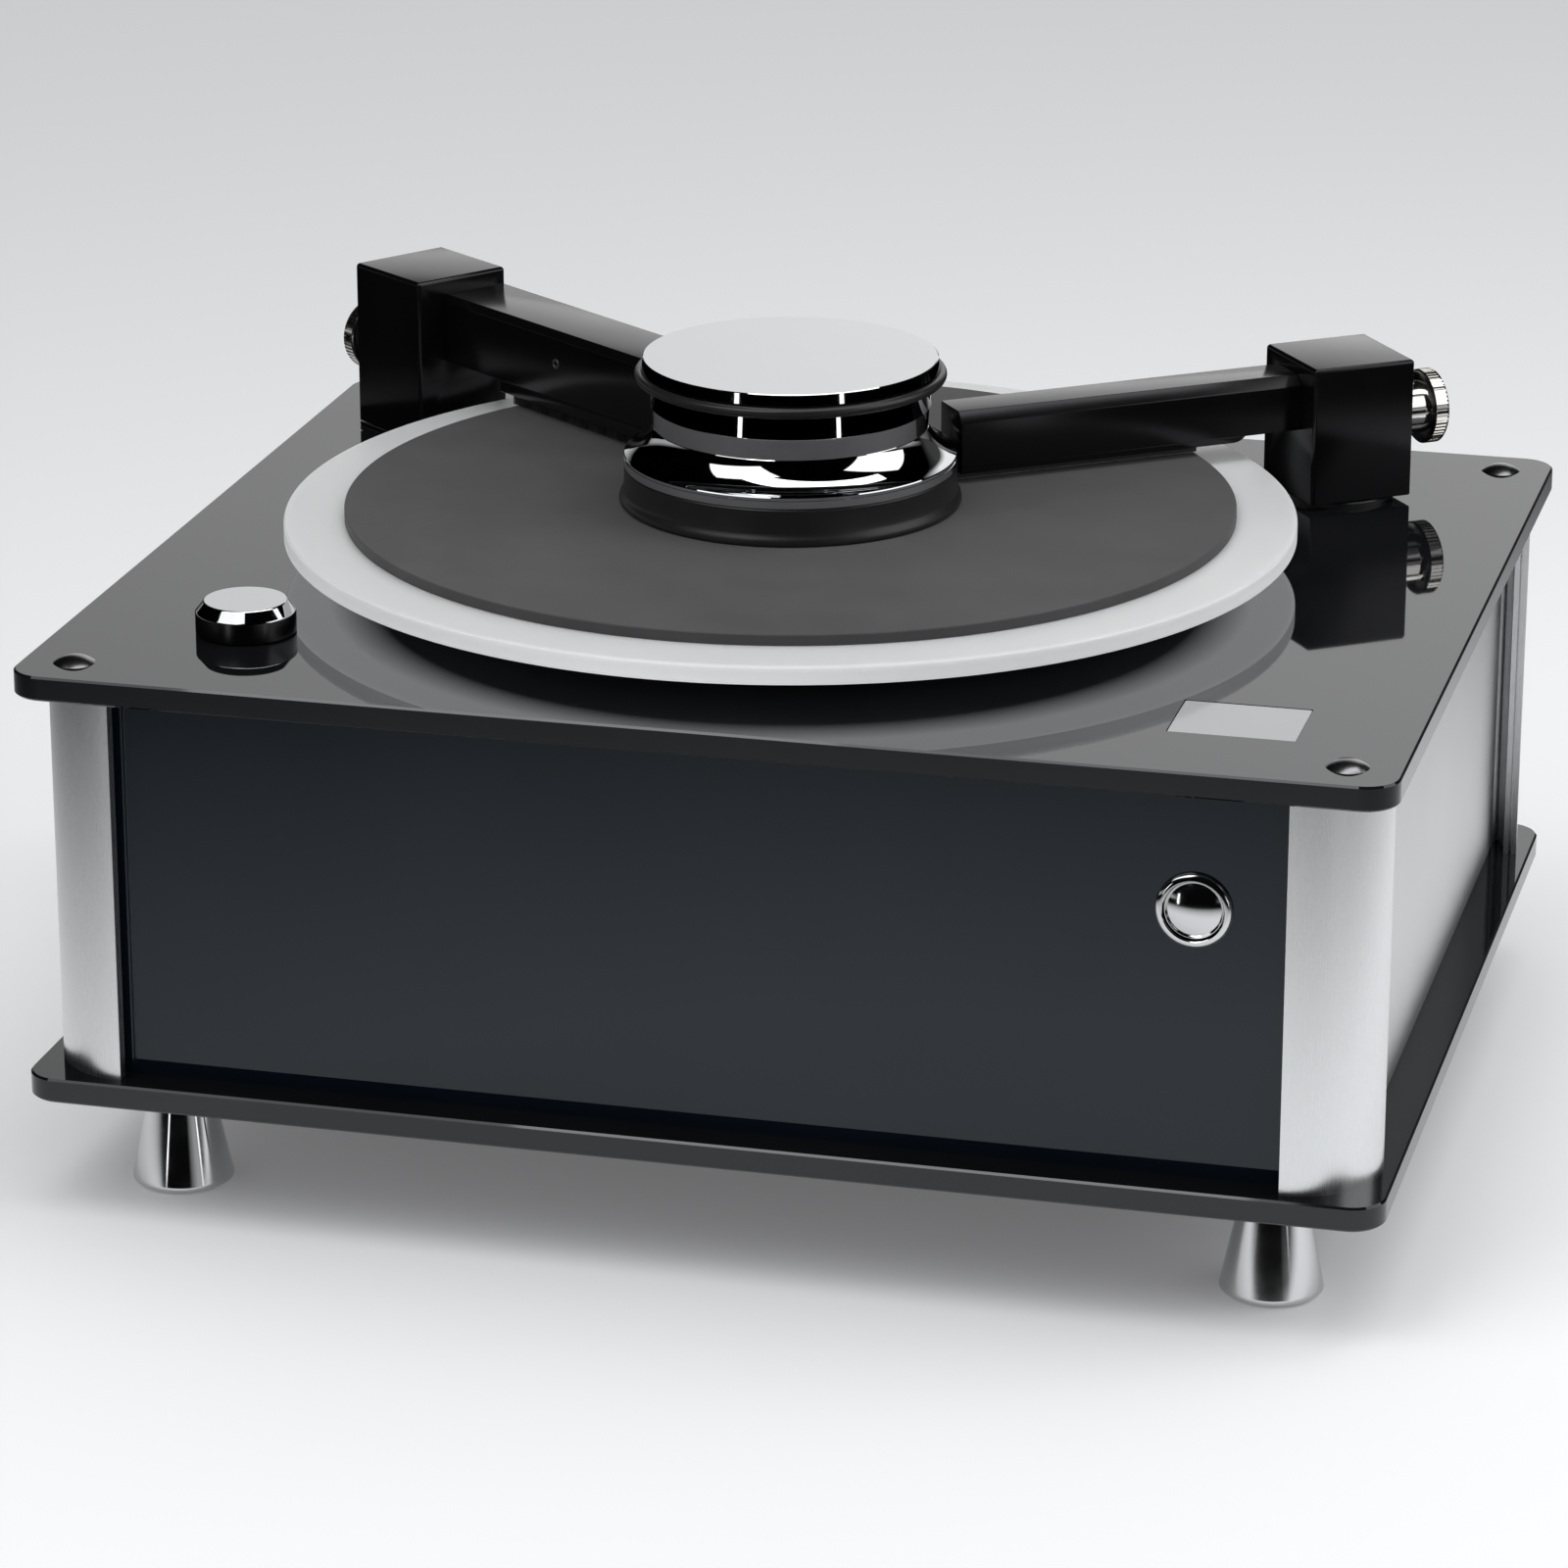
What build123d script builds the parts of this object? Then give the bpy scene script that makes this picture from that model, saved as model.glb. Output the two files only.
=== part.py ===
from build123d import *
import os
from math import atan2, cos, degrees, pi, radians, sin, sqrt

# Record cleaning machine for 12-inch records, in millimetres.
# +Z is up, -Y is the front and the origin is on the floor under the middle of the case.
# A glossy plate closes the case at the top and another at the bottom. Four quarter-round
# aluminium posts stand between them and hold the four panels. The platter turns the record,
# the brush arm wets and scrubs it and the hollow suction arm dries it.

os.makedirs("parts", exist_ok=True)

# ---------------------------------------------------------------- fits
FIT_GAP = 0.05          # radial clearance of a turning or seated round fit
FREE_GAP = 0.3          # clearance between pieces that move past each other
END_GAP = 1.0           # free room past the end of a shaft, pin, bolt or spigot

# ---------------------------------------------------------------- case
PLATE_LENGTH = 394.0
PLATE_DEPTH = 322.0
PLATE_THICKNESS = 7.2
PLATE_CORNER = 10.0
PLATE_EDGE = 0.6        # polished chamfer all round the plates
BODY_HEIGHT = 114.4     # clear height between the two plates

POST_INSET = 4.0        # from the plate's edge to the post's outer face
POST_RADIUS = 25.0
POST_WALL = 4.0
POST_GROOVE = 0.8
POST_GROOVE_DEPTH = 3.0
SCREW_INSET = 15.5      # from both edges of the plate to the corner screws
SCREW_PORT_RADIUS = 4.5
FIN_THICKNESS = 2.0     # rib of the post that backs a panel

FRONT_PANEL_INSET = 11.0
FRONT_PANEL_THICKNESS = 4.0
SIDE_PANEL_INSET = 12.6
SIDE_PANEL_THICKNESS = 2.0
PANEL_LAP = 6.0         # how far a panel reaches behind a post

CORNER_SCREW_RADIUS = 2.0
CORNER_SCREW_LENGTH = 20.0
DOME_RADIUS = 6.0
DOME_HEIGHT = 2.2
BASE_HEAD_RADIUS = 4.0
BASE_HEAD_HEIGHT = 2.6

# ---------------------------------------------------------------- feet
FOOT_HEIGHT = 35.0
FOOT_INSET = 35.5       # from both edges of the plate to the middle of a foot
FOOT_TOP_RADIUS = 10.0
FOOT_BASE_RADIUS = 14.5
FOOT_EDGE = 0.8
PAD_RADIUS = 12.0
PAD_THICKNESS = 3.0
PAD_PROUD = 1.0
FOOT_BOLT_RADIUS = 3.0
FOOT_BOLT_DEPTH = 12.0
FOOT_BOLT_HEAD_RADIUS = 5.0
FOOT_BOLT_HEAD_HEIGHT = 4.0

# ---------------------------------------------------------------- platter and drive
PLATTER_X = -10.0
PLATTER_Y = 0.0
PLATTER_RADIUS = 150.0
PLATTER_THICKNESS = 5.5
PLATTER_HEIGHT = 15.7   # top of the platter above the deck
MAT_RADIUS = 132.0
MAT_THICKNESS = 3.2
MAT_EDGE = 0.8
SPINDLE_PIN_RADIUS = 3.6
SPINDLE_PIN_HEIGHT = 17.0   # above the mat
SPINDLE_SHAFT_RADIUS = 6.0
SPINDLE_FLANGE_RADIUS = 38.0
SPINDLE_FLANGE_THICKNESS = 4.0
SLINGER_RADIUS = 15.0
SLINGER_GAP = 1.0
SPINDLE_HOLE_RADIUS = 10.0
BUSH_RADIUS = 9.0
BUSH_LENGTH = 12.0
HOUSING_RADIUS = 15.0
HOUSING_CLEARANCE = 5.9     # from the pulley's hub up to the housing
HOUSING_FLANGE_RADIUS = 28.0
HOUSING_FLANGE_THICKNESS = 5.0

BELT_THICKNESS = 1.2
BELT_HEIGHT = 6.0
PULLEY_PITCH_RADIUS = 45.0      # belt's centre line round the platter's pulley
MOTOR_PITCH_RADIUS = 10.0       # and round the motor's pulley
PULLEY_WIDTH = 8.0
PULLEY_RIM = 2.0
PULLEY_WEB = 4.0
PULLEY_HUB_RADIUS = 12.0
PULLEY_HUB_HEIGHT = 6.0
PULLEY_HOLES = 6
PULLEY_HOLE_RADIUS = 8.0

MOTOR_X = -97.0
MOTOR_Y = -22.0
MOTOR_RADIUS = 29.0
MOTOR_HEIGHT = 36.0
MOTOR_EDGE = 2.0
MOTOR_SHAFT_RADIUS = 3.0
BRACKET_LENGTH = 72.0
BRACKET_DEPTH = 60.0
BRACKET_HEIGHT = 42.0
BRACKET_THICKNESS = 2.5
BRACKET_FOOT = 9.0

# ---------------------------------------------------------------- record clamp
CLAMP_SEAL_RADIUS = 50.8
CLAMP_SEAL_THICKNESS = 3.0
CLAMP_SKIRT_RADIUS = 49.3
CLAMP_SKIRT_TOP = 29.9          # heights of the clamp are above the deck
CLAMP_RIM_TOP = 33.7
CLAMP_NECK_RADIUS = 40.65
CLAMP_NECK_FOOT = 42.3
CLAMP_BAND_RADIUS = 41.4
CLAMP_BAND_FOOT = 48.5
CLAMP_BAND_TOP = 55.8
CLAMP_CAP_RADIUS = 44.2
CLAMP_CAP_FOOT = 59.0
CLAMP_CAP_TOP = 62.8
CLAMP_EDGE = 0.4
O_RING_RADIUS = 46.1
O_RING_SECTION = 1.6
CLAMP_SPIGOT_RADIUS = 12.0
CLAMP_SPIGOT_DEPTH = 8.0

# ---------------------------------------------------------------- the two arms
TOWER_INSET = 41.3      # from the plate's end to the brush tower's axis
TOWER_CLEARANCE = 32.2  # from the platter's rim to each tower's axis
ARM_LEAD = 0.6013       # the arms point this many degrees in front of the spindle
TOWER_SIZE = 34.0
TOWER_BASE = 1.9        # heights of the arms are above the deck
TOWER_EDGE = 0.8
SUCTION_TOWER_TOP = 44.7
BRUSH_TOWER_TOP = 53.4
ARM_TIP_GAP = 1.9       # from the end of the arm to the clamp's seal

PIVOT_RADIUS = 8.0
PIVOT_BORE = 5.0
PIVOT_LENGTH = 30.0     # below the deck's top
PIVOT_SPIGOT = 12.0     # up inside the tower
ARM_BUSH_RADIUS = 10.5
ARM_BUSH_LENGTH = 24.0
ARM_BUSH_FLANGE_RADIUS = 14.0
ARM_BUSH_FLANGE = 1.6

SUCTION_BAR_WIDTH = 16.0
SUCTION_BAR_FOOT = 23.8
SUCTION_BAR_TOP = 40.7
SUCTION_BAR_EDGE = 3.0
SUCTION_WALL = 2.5
NOZZLE_START = 35.5
NOZZLE_THICKNESS = 1.8
NOZZLE_LEAD = 4.0
LIP_START = 50.3
LIP_THICKNESS = 2.7
LIP_WIDTH = 3.0
SLOT_WIDTH = 3.0
SLOT_END = 5.0

BRUSH_BAR_FRONT = 7.2
BRUSH_BAR_BACK = 16.4
BRUSH_BAR_FOOT = 26.8
BRUSH_BAR_TOP = 48.0
BRUSH_BAR_EDGE = 2.0
HOLDER_START = 46.0
HOLDER_BACK = 4.0
HOLDER_FOOT = 23.0
BRISTLE_FOOT = 19.4
BRISTLE_WIDTH = 7.0
BRISTLE_BLOCKS = 8
BRISTLE_MARGIN = 3.35   # bare end of the holder
BRISTLE_GAP = 0.8
FLUID_BORE = 3.0

THUMBSCREW_HEIGHT = 24.5
THUMBSCREW_SHANK_RADIUS = 3.0
THUMBSCREW_SHANK = 8.0
THUMBSCREW_COLLAR_RADIUS = 8.0
THUMBSCREW_COLLAR = 10.5
THUMBSCREW_HEAD_RADIUS = 11.5
THUMBSCREW_HEAD = 5.0
THUMBSCREW_EDGE = 0.6
KNURL_COUNT = 36
KNURL_RADIUS = 0.55

# ---------------------------------------------------------------- controls
KNOB_INSET_X = 53.2     # from the plate's end to the knob's axis
KNOB_INSET_Y = 54.5     # and from its front edge
KNOB_RADIUS = 14.5
KNOB_HEIGHT = 9.35
KNOB_TOP_RADIUS = 11.9
KNOB_EDGE_HEIGHT = 3.1
KNOB_RECESS_RADIUS = 9.5
KNOB_RECESS = 3.6
SELECTOR_RADIUS = 13.0
SELECTOR_HEIGHT = 18.0
SELECTOR_NECK_RADIUS = 4.8
SELECTOR_NECK = 3.0
SELECTOR_NUT_RADIUS = 7.5
SELECTOR_NUT = 2.2
SELECTOR_SHAFT_RADIUS = 3.0
SELECTOR_SHAFT_DEPTH = 12.0
SELECTOR_SHAFT_GRIP = 7.0

SWITCH_INSET = 55.5     # from the plate's end to the power switch
SWITCH_DROP = 43.0      # from the deck's top down to the power switch
BEZEL_RADIUS = 10.85
BEZEL_PROUD = 2.0
BEZEL_EDGE = 0.7
BARREL_RADIUS = 9.5
BARREL_LENGTH = 20.0
SWITCH_CAN_RADIUS = 8.5
SWITCH_CAN_LENGTH = 12.0
BUTTON_RADIUS = 8.35
BUTTON_PROUD = 0.8      # in front of the bezel
BUTTON_LENGTH = 7.0
BUTTON_TRAVEL = 2.5
BUTTON_DOME = 0.5
SWITCH_NUT_RADIUS = 13.0
SWITCH_NUT = 3.0

WINDOW_INSET_X = 50.5   # from the plate's end to the window's middle
WINDOW_INSET_Y = 46.7   # and from its front edge
WINDOW_LENGTH = 36.0
WINDOW_DEPTH = 28.0
WINDOW_RECESS = 1.0
WINDOW_PANE = 1.2
WINDOW_GAP = 0.1

# ---------------------------------------------------------------- inside the case
TURBINE_OFFSET = 108.0  # from the platter's axis, sideways
TURBINE_CLEARANCE = 44.0    # from the front panel to the turbine
TURBINE_FAN_RADIUS = 50.0
TURBINE_FAN_HEIGHT = 26.0
TURBINE_MOTOR_RADIUS = 34.0
TURBINE_MOTOR_HEIGHT = 36.0
TURBINE_NECK_RADIUS = 11.0
TURBINE_NECK = 8.0
TURBINE_RIBS = 12

WASTE_BOLT_GAP = 2.5    # from the tank to the foot's bolt beside it
WASTE_CLEARANCE = 12.0  # from the tank to the rear panel
WASTE_LENGTH = 92.0
WASTE_DEPTH = 84.0
WASTE_HEIGHT = 58.0
WASTE_CORNER = 10.0
TANK_WALL = 2.5
TANK_NECK = 6.0
TANK_NECK_RADIUS = 10.5

SUPPLY_BOLT_GAP = 6.5
SUPPLY_CLEARANCE = 16.0
SUPPLY_LENGTH = 76.0
SUPPLY_DEPTH = 92.0
SUPPLY_HEIGHT = 52.0
SUPPLY_CAP_RADIUS = 16.0
SUPPLY_CAP_HEIGHT = 8.0

PUMP_GAP = 8.0          # from the supply tank to the pump
PUMP_CLEARANCE = 18.6   # from the pump to the rear panel
PUMP_LENGTH = 40.0
PUMP_DEPTH = 36.0
PUMP_HEIGHT = 34.0
PUMP_HEAD_RADIUS = 14.0
PUMP_HEAD_HEIGHT = 12.0
PUMP_NECK = 6.0

SLEEVE_WALL = 2.5
SLEEVE_GRIP = 8.0       # how far the suction sleeve reaches over the arm's bush
AIR_HOSE_RADIUS = 9.0
AIR_HOSE_BORE = 7.0
AIR_HOSE_CLEARANCE = 5.4    # from the hose's top run up to the deck plate
FLUID_HOSE_RADIUS = 4.0
FLUID_HOSE_BORE = 2.5
FLUID_HOSE_BEND = 12.0
FLUID_HOSE_DROP = 16.0
FLUID_HOSE_GRIP = 10.0     # how far the hose reaches up the brush arm's pivot

SUPPLY_UNIT_GAP = 7.0   # from the control board to the power supply
SUPPLY_UNIT_CLEARANCE = 9.0 # from the front panel
SUPPLY_UNIT_LENGTH = 96.0
SUPPLY_UNIT_DEPTH = 58.0
SUPPLY_UNIT_HEIGHT = 38.0
SUPPLY_UNIT_SLOTS = 9

BOARD_SIDE_GAP = 31.4   # from the left panel to the board
BOARD_CLEARANCE = 16.0  # from the front panel
BOARD_LENGTH = 78.0
BOARD_DEPTH = 52.0
BOARD_THICKNESS = 1.6
BOARD_STANDOFF = 8.0
BOARD_STANDOFF_RADIUS = 3.0
BOARD_STANDOFF_INSET = 5.0
BOARD_TALL_PARTS = 15.0
BOARD_LOW_PARTS = 11.0

INLET_X = 22.0
INLET_HEIGHT = 40.0     # above the bottom plate
INLET_LENGTH = 28.0
INLET_TALL = 21.0
INLET_DEPTH = 22.0
INLET_FLANGE_LENGTH = 50.0
INLET_FLANGE_TALL = 25.0
INLET_FLANGE = 3.0
INLET_WALL = 2.0
INLET_RECESS = 17.0
INLET_PIN_LENGTH = 10.0
INLET_PIN_WIDTH = 2.0
INLET_PIN_HEIGHT = 4.0
INLET_PIN_SPACING = 7.0

DRAIN_OFFSET = 4.0      # from the middle of the waste tank
DRAIN_HEIGHT = 12.0
DRAIN_BARB_RADIUS = 4.0
DRAIN_BARB_LENGTH = 9.0
DRAIN_COLLAR_RADIUS = 8.0
DRAIN_COLLAR = 2.0
DRAIN_BORE = 2.5

VENT_LENGTH = 30.0
VENT_WIDTH = 4.0
VENT_SPACING = 9.0
VENT_COUNT = 9
VENT_INSET = 93.0       # from the plate's end to the middle of the vents
VENT_DROP = 28.0        # from the deck's underside to the middle of the rear vents

# ---------------------------------------------------------------- levels and places
BASE_Z = FOOT_HEIGHT
FLOOR_Z = BASE_Z + PLATE_THICKNESS
CEILING_Z = FLOOR_Z + BODY_HEIGHT
DECK_Z = CEILING_Z + PLATE_THICKNESS

HALF_LENGTH = PLATE_LENGTH / 2
HALF_DEPTH = PLATE_DEPTH / 2
POST_X = HALF_LENGTH - POST_INSET - POST_RADIUS
POST_Y = HALF_DEPTH - POST_INSET - POST_RADIUS
SCREW_X = HALF_LENGTH - SCREW_INSET
SCREW_Y = HALF_DEPTH - SCREW_INSET
FOOT_X = HALF_LENGTH - FOOT_INSET
FOOT_Y = HALF_DEPTH - FOOT_INSET
FRONT_FACE = HALF_DEPTH - FRONT_PANEL_INSET
FRONT_BACK = FRONT_FACE - FRONT_PANEL_THICKNESS
SIDE_FACE = HALF_LENGTH - SIDE_PANEL_INSET
SIDE_BACK = SIDE_FACE - SIDE_PANEL_THICKNESS
FRONT_PANEL_LENGTH = 2 * (POST_X + PANEL_LAP)
SIDE_PANEL_LENGTH = 2 * (POST_Y + PANEL_LAP)

PLATTER_TOP = DECK_Z + PLATTER_HEIGHT
PLATTER_FOOT = PLATTER_TOP - PLATTER_THICKNESS
MAT_TOP = PLATTER_TOP + MAT_THICKNESS
PULLEY_Z = FLOOR_Z + BRACKET_HEIGHT + BRACKET_THICKNESS
PULLEY_MIDDLE = PULLEY_Z + PULLEY_WIDTH / 2
HOUSING_FOOT = PULLEY_Z + PULLEY_WIDTH + PULLEY_HUB_HEIGHT + HOUSING_CLEARANCE
HOUSING_LENGTH = CEILING_Z - HOUSING_FOOT
PULLEY_RADIUS = PULLEY_PITCH_RADIUS - BELT_THICKNESS / 2 - FREE_GAP
MOTOR_PULLEY_RADIUS = MOTOR_PITCH_RADIUS - BELT_THICKNESS / 2 - FREE_GAP

TOWER_REACH = PLATTER_RADIUS + TOWER_CLEARANCE
TOWER_X = HALF_LENGTH - TOWER_INSET + PLATTER_X
TOWER_Y = sqrt(TOWER_REACH**2 - TOWER_X**2)
ARM_ANGLE = degrees(atan2(TOWER_Y, TOWER_X)) - ARM_LEAD
ARM_TIP = TOWER_REACH - CLAMP_SEAL_RADIUS - ARM_TIP_GAP
SUCTION_X = PLATTER_X + TOWER_X
BRUSH_X = PLATTER_X - TOWER_X
ARMS_Y = PLATTER_Y + TOWER_Y
SUCTION_HEADING = 180.0 + ARM_ANGLE
BRUSH_HEADING = -ARM_ANGLE
PIVOT_FOOT = DECK_Z - PIVOT_LENGTH
BRISTLE_SPACING = (ARM_TIP - HOLDER_START - 2 * BRISTLE_MARGIN) / BRISTLE_BLOCKS
BRISTLE_LENGTH = BRISTLE_SPACING - BRISTLE_GAP

SLEEVE_BORE = max(ARM_BUSH_RADIUS, TANK_NECK_RADIUS) + FIT_GAP
KNOB_X = KNOB_INSET_X - HALF_LENGTH
KNOB_Y = KNOB_INSET_Y - HALF_DEPTH
WINDOW_X = HALF_LENGTH - WINDOW_INSET_X
WINDOW_Y = WINDOW_INSET_Y - HALF_DEPTH
SWITCH_X = HALF_LENGTH - SWITCH_INSET
SWITCH_Z = DECK_Z - SWITCH_DROP
VENT_X = HALF_LENGTH - VENT_INSET

BOLT_SIDE = FOOT_X - FOOT_BOLT_HEAD_RADIUS
WASTE_X = BOLT_SIDE - WASTE_BOLT_GAP - WASTE_LENGTH / 2
WASTE_Y = FRONT_BACK - WASTE_CLEARANCE - WASTE_DEPTH / 2
SUPPLY_X = SUPPLY_BOLT_GAP + SUPPLY_LENGTH / 2 - BOLT_SIDE
SUPPLY_Y = FRONT_BACK - SUPPLY_CLEARANCE - SUPPLY_DEPTH / 2
PUMP_X = SUPPLY_X + SUPPLY_LENGTH / 2 + PUMP_GAP + PUMP_LENGTH / 2
PUMP_Y = FRONT_BACK - PUMP_CLEARANCE - PUMP_DEPTH / 2
TURBINE_X = PLATTER_X + TURBINE_OFFSET
TURBINE_Y = TURBINE_CLEARANCE + TURBINE_FAN_RADIUS - FRONT_BACK
BOARD_X = BOARD_SIDE_GAP + BOARD_LENGTH / 2 - SIDE_BACK
BOARD_Y = BOARD_CLEARANCE + BOARD_DEPTH / 2 - FRONT_BACK
SUPPLY_UNIT_X = BOARD_X + BOARD_LENGTH / 2 + SUPPLY_UNIT_GAP + SUPPLY_UNIT_LENGTH / 2
SUPPLY_UNIT_Y = SUPPLY_UNIT_CLEARANCE + SUPPLY_UNIT_DEPTH / 2 - FRONT_BACK
DRAIN_X = WASTE_X + DRAIN_OFFSET
WASTE_TOP = FLOOR_Z + WASTE_HEIGHT
SUPPLY_TOP = FLOOR_Z + SUPPLY_HEIGHT
TURBINE_TOP = FLOOR_Z + TURBINE_MOTOR_HEIGHT + TURBINE_FAN_HEIGHT
AIR_HOSE_TOP = CEILING_Z - AIR_HOSE_CLEARANCE - AIR_HOSE_RADIUS
AIR_HOSE_BEND = (AIR_HOSE_TOP - TURBINE_TOP - TURBINE_NECK) * 2 / 3
DRAIN_Z = FLOOR_Z + DRAIN_HEIGHT
INLET_Z = FLOOR_Z + INLET_HEIGHT

CORNERS = {
    "front_left": (-1, -1),
    "front_right": (1, -1),
    "rear_left": (-1, 1),
    "rear_right": (1, 1),
}


# ---------------------------------------------------------------- helpers
def save(builder, name):
    """Label a finished piece and write its STEP file."""
    builder.part.label = name
    export_step(builder.part, f"parts/{name}.step")


def upright(x, y):
    """Plane through an upright axis: local x is the radius, local y the height."""
    return Plane(origin=(x, y, 0), x_dir=(1, 0, 0), z_dir=(0, -1, 0))


def upright_axis(x, y):
    """Upright axis through a point of the floor."""
    return Axis((x, y, 0), (0, 0, 1))


def heading_vector(angle):
    """Level unit vector that points along an angle from +X."""
    return Vector(cos(radians(angle)), sin(radians(angle)), 0)


def arm_level(x, angle, height):
    """Level plane of an arm at a height above the deck: local x runs from the tower to the tip."""
    return Plane(origin=(x, ARMS_Y, DECK_Z + height), x_dir=heading_vector(angle), z_dir=(0, 0, 1))


def arm_section(x, angle, reach):
    """Upright plane across an arm: local x is level, local y is the height above the deck."""
    start = Vector(x, ARMS_Y, DECK_Z) + heading_vector(angle) * reach
    return Plane(origin=start, x_dir=heading_vector(angle + 90), z_dir=heading_vector(angle))


def arm_side(x, angle):
    """Upright plane along an arm: local x is the reach, local y the height above the deck."""
    return Plane(
        origin=(x, ARMS_Y, DECK_Z),
        x_dir=heading_vector(angle),
        z_dir=heading_vector(angle - 90),
    )


# ---------------------------------------------------------------- case: plates
with BuildPart() as bottom_plate:
    with BuildSketch(Plane.XY.offset(BASE_Z)):
        RectangleRounded(PLATE_LENGTH, PLATE_DEPTH, PLATE_CORNER)
    extrude(amount=PLATE_THICKNESS)
    edge_loops = bottom_plate.edges().group_by(Axis.Z)
    chamfer(edge_loops[0] + edge_loops[-1], PLATE_EDGE)
    with BuildSketch(Plane.XY.offset(BASE_Z)):
        with GridLocations(2 * FOOT_X, 2 * FOOT_Y, 2, 2):
            Circle(FOOT_BOLT_RADIUS + FIT_GAP)
        with GridLocations(2 * SCREW_X, 2 * SCREW_Y, 2, 2):
            Circle(CORNER_SCREW_RADIUS + FIT_GAP)
        with Locations((PLATTER_X, PLATTER_Y)):
            with GridLocations(VENT_SPACING, 0, VENT_COUNT, 1):
                SlotOverall(VENT_LENGTH, VENT_WIDTH, rotation=90)
    extrude(amount=PLATE_THICKNESS, mode=Mode.SUBTRACT)
    with BuildSketch(Plane.XY.offset(BASE_Z)):
        with GridLocations(2 * SCREW_X, 2 * SCREW_Y, 2, 2):
            Circle(BASE_HEAD_RADIUS + FIT_GAP)
    extrude(amount=BASE_HEAD_HEIGHT, mode=Mode.SUBTRACT)
save(bottom_plate, "bottom_plate")

with BuildPart() as top_plate:
    with BuildSketch(Plane.XY.offset(CEILING_Z)):
        RectangleRounded(PLATE_LENGTH, PLATE_DEPTH, PLATE_CORNER)
    extrude(amount=PLATE_THICKNESS)
    edge_loops = top_plate.edges().group_by(Axis.Z)
    chamfer(edge_loops[0] + edge_loops[-1], PLATE_EDGE)
    with BuildSketch(Plane.XY.offset(CEILING_Z)):
        with GridLocations(2 * SCREW_X, 2 * SCREW_Y, 2, 2):
            Circle(CORNER_SCREW_RADIUS + FIT_GAP)
        with Locations((PLATTER_X, PLATTER_Y)):
            Circle(SPINDLE_HOLE_RADIUS)
        with Locations((SUCTION_X, ARMS_Y), (BRUSH_X, ARMS_Y)):
            Circle(ARM_BUSH_RADIUS + FIT_GAP)
        with Locations((KNOB_X, KNOB_Y)):
            Circle(SELECTOR_NECK_RADIUS + FIT_GAP)
    extrude(amount=PLATE_THICKNESS, mode=Mode.SUBTRACT)
    with BuildSketch(Plane.XY.offset(DECK_Z)):
        with Locations((WINDOW_X, WINDOW_Y)):
            Rectangle(WINDOW_LENGTH, WINDOW_DEPTH)
    extrude(amount=-(WINDOW_RECESS + WINDOW_PANE), mode=Mode.SUBTRACT)
save(top_plate, "top_plate")

with BuildPart() as deck_window:
    with BuildSketch(Plane.XY.offset(DECK_Z - WINDOW_RECESS)):
        with Locations((WINDOW_X, WINDOW_Y)):
            Rectangle(WINDOW_LENGTH - 2 * WINDOW_GAP, WINDOW_DEPTH - 2 * WINDOW_GAP)
    extrude(amount=-WINDOW_PANE)
save(deck_window, "deck_window")

# ---------------------------------------------------------------- case: corner posts
# Each post is one aluminium extrusion: a quarter-round wall with a fine groove in both end
# faces, a port for the corner screws and two ribs that back the panels.
for corner, (side, end) in CORNERS.items():
    outward = (
        Align.MIN if side > 0 else Align.MAX,
        Align.MIN if end > 0 else Align.MAX,
    )
    inward = (
        Align.MAX if side > 0 else Align.MIN,
        Align.MAX if end > 0 else Align.MIN,
    )
    groove_radius = POST_RADIUS - POST_WALL / 2
    with BuildPart() as corner_post:
        with BuildSketch(Plane.XY.offset(FLOOR_Z)):
            with Locations((side * POST_X, end * POST_Y)):
                Circle(POST_RADIUS)
                Circle(POST_RADIUS - POST_WALL, mode=Mode.SUBTRACT)
                Rectangle(POST_RADIUS, POST_RADIUS, align=outward, mode=Mode.INTERSECT)
            with Locations((side * POST_X, end * (POST_Y + groove_radius))):
                Rectangle(2 * POST_GROOVE_DEPTH, POST_GROOVE, mode=Mode.SUBTRACT)
            with Locations((side * (POST_X + groove_radius), end * POST_Y)):
                Rectangle(POST_GROOVE, 2 * POST_GROOVE_DEPTH, mode=Mode.SUBTRACT)
            with Locations((side * SCREW_X, end * SCREW_Y)):
                Circle(SCREW_PORT_RADIUS)
            with Locations((side * SCREW_X, end * FRONT_BACK)):
                Rectangle(SCREW_X - POST_X, FIN_THICKNESS, align=inward)
            with Locations((side * SIDE_BACK, end * SCREW_Y)):
                Rectangle(FIN_THICKNESS, SCREW_Y - POST_Y, align=inward)
            with Locations((side * SCREW_X, end * SCREW_Y)):
                Circle(CORNER_SCREW_RADIUS + FIT_GAP, mode=Mode.SUBTRACT)
        extrude(amount=BODY_HEIGHT)
    save(corner_post, f"corner_post_{corner}")

# ---------------------------------------------------------------- case: panels
for name, side in (("left_panel", -1), ("right_panel", 1)):
    with BuildPart() as side_panel:
        with BuildSketch(Plane.XY.offset(FLOOR_Z)):
            with Locations((side * (SIDE_FACE - SIDE_PANEL_THICKNESS / 2), 0)):
                Rectangle(SIDE_PANEL_THICKNESS, SIDE_PANEL_LENGTH)
        extrude(amount=BODY_HEIGHT)
    save(side_panel, name)

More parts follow.
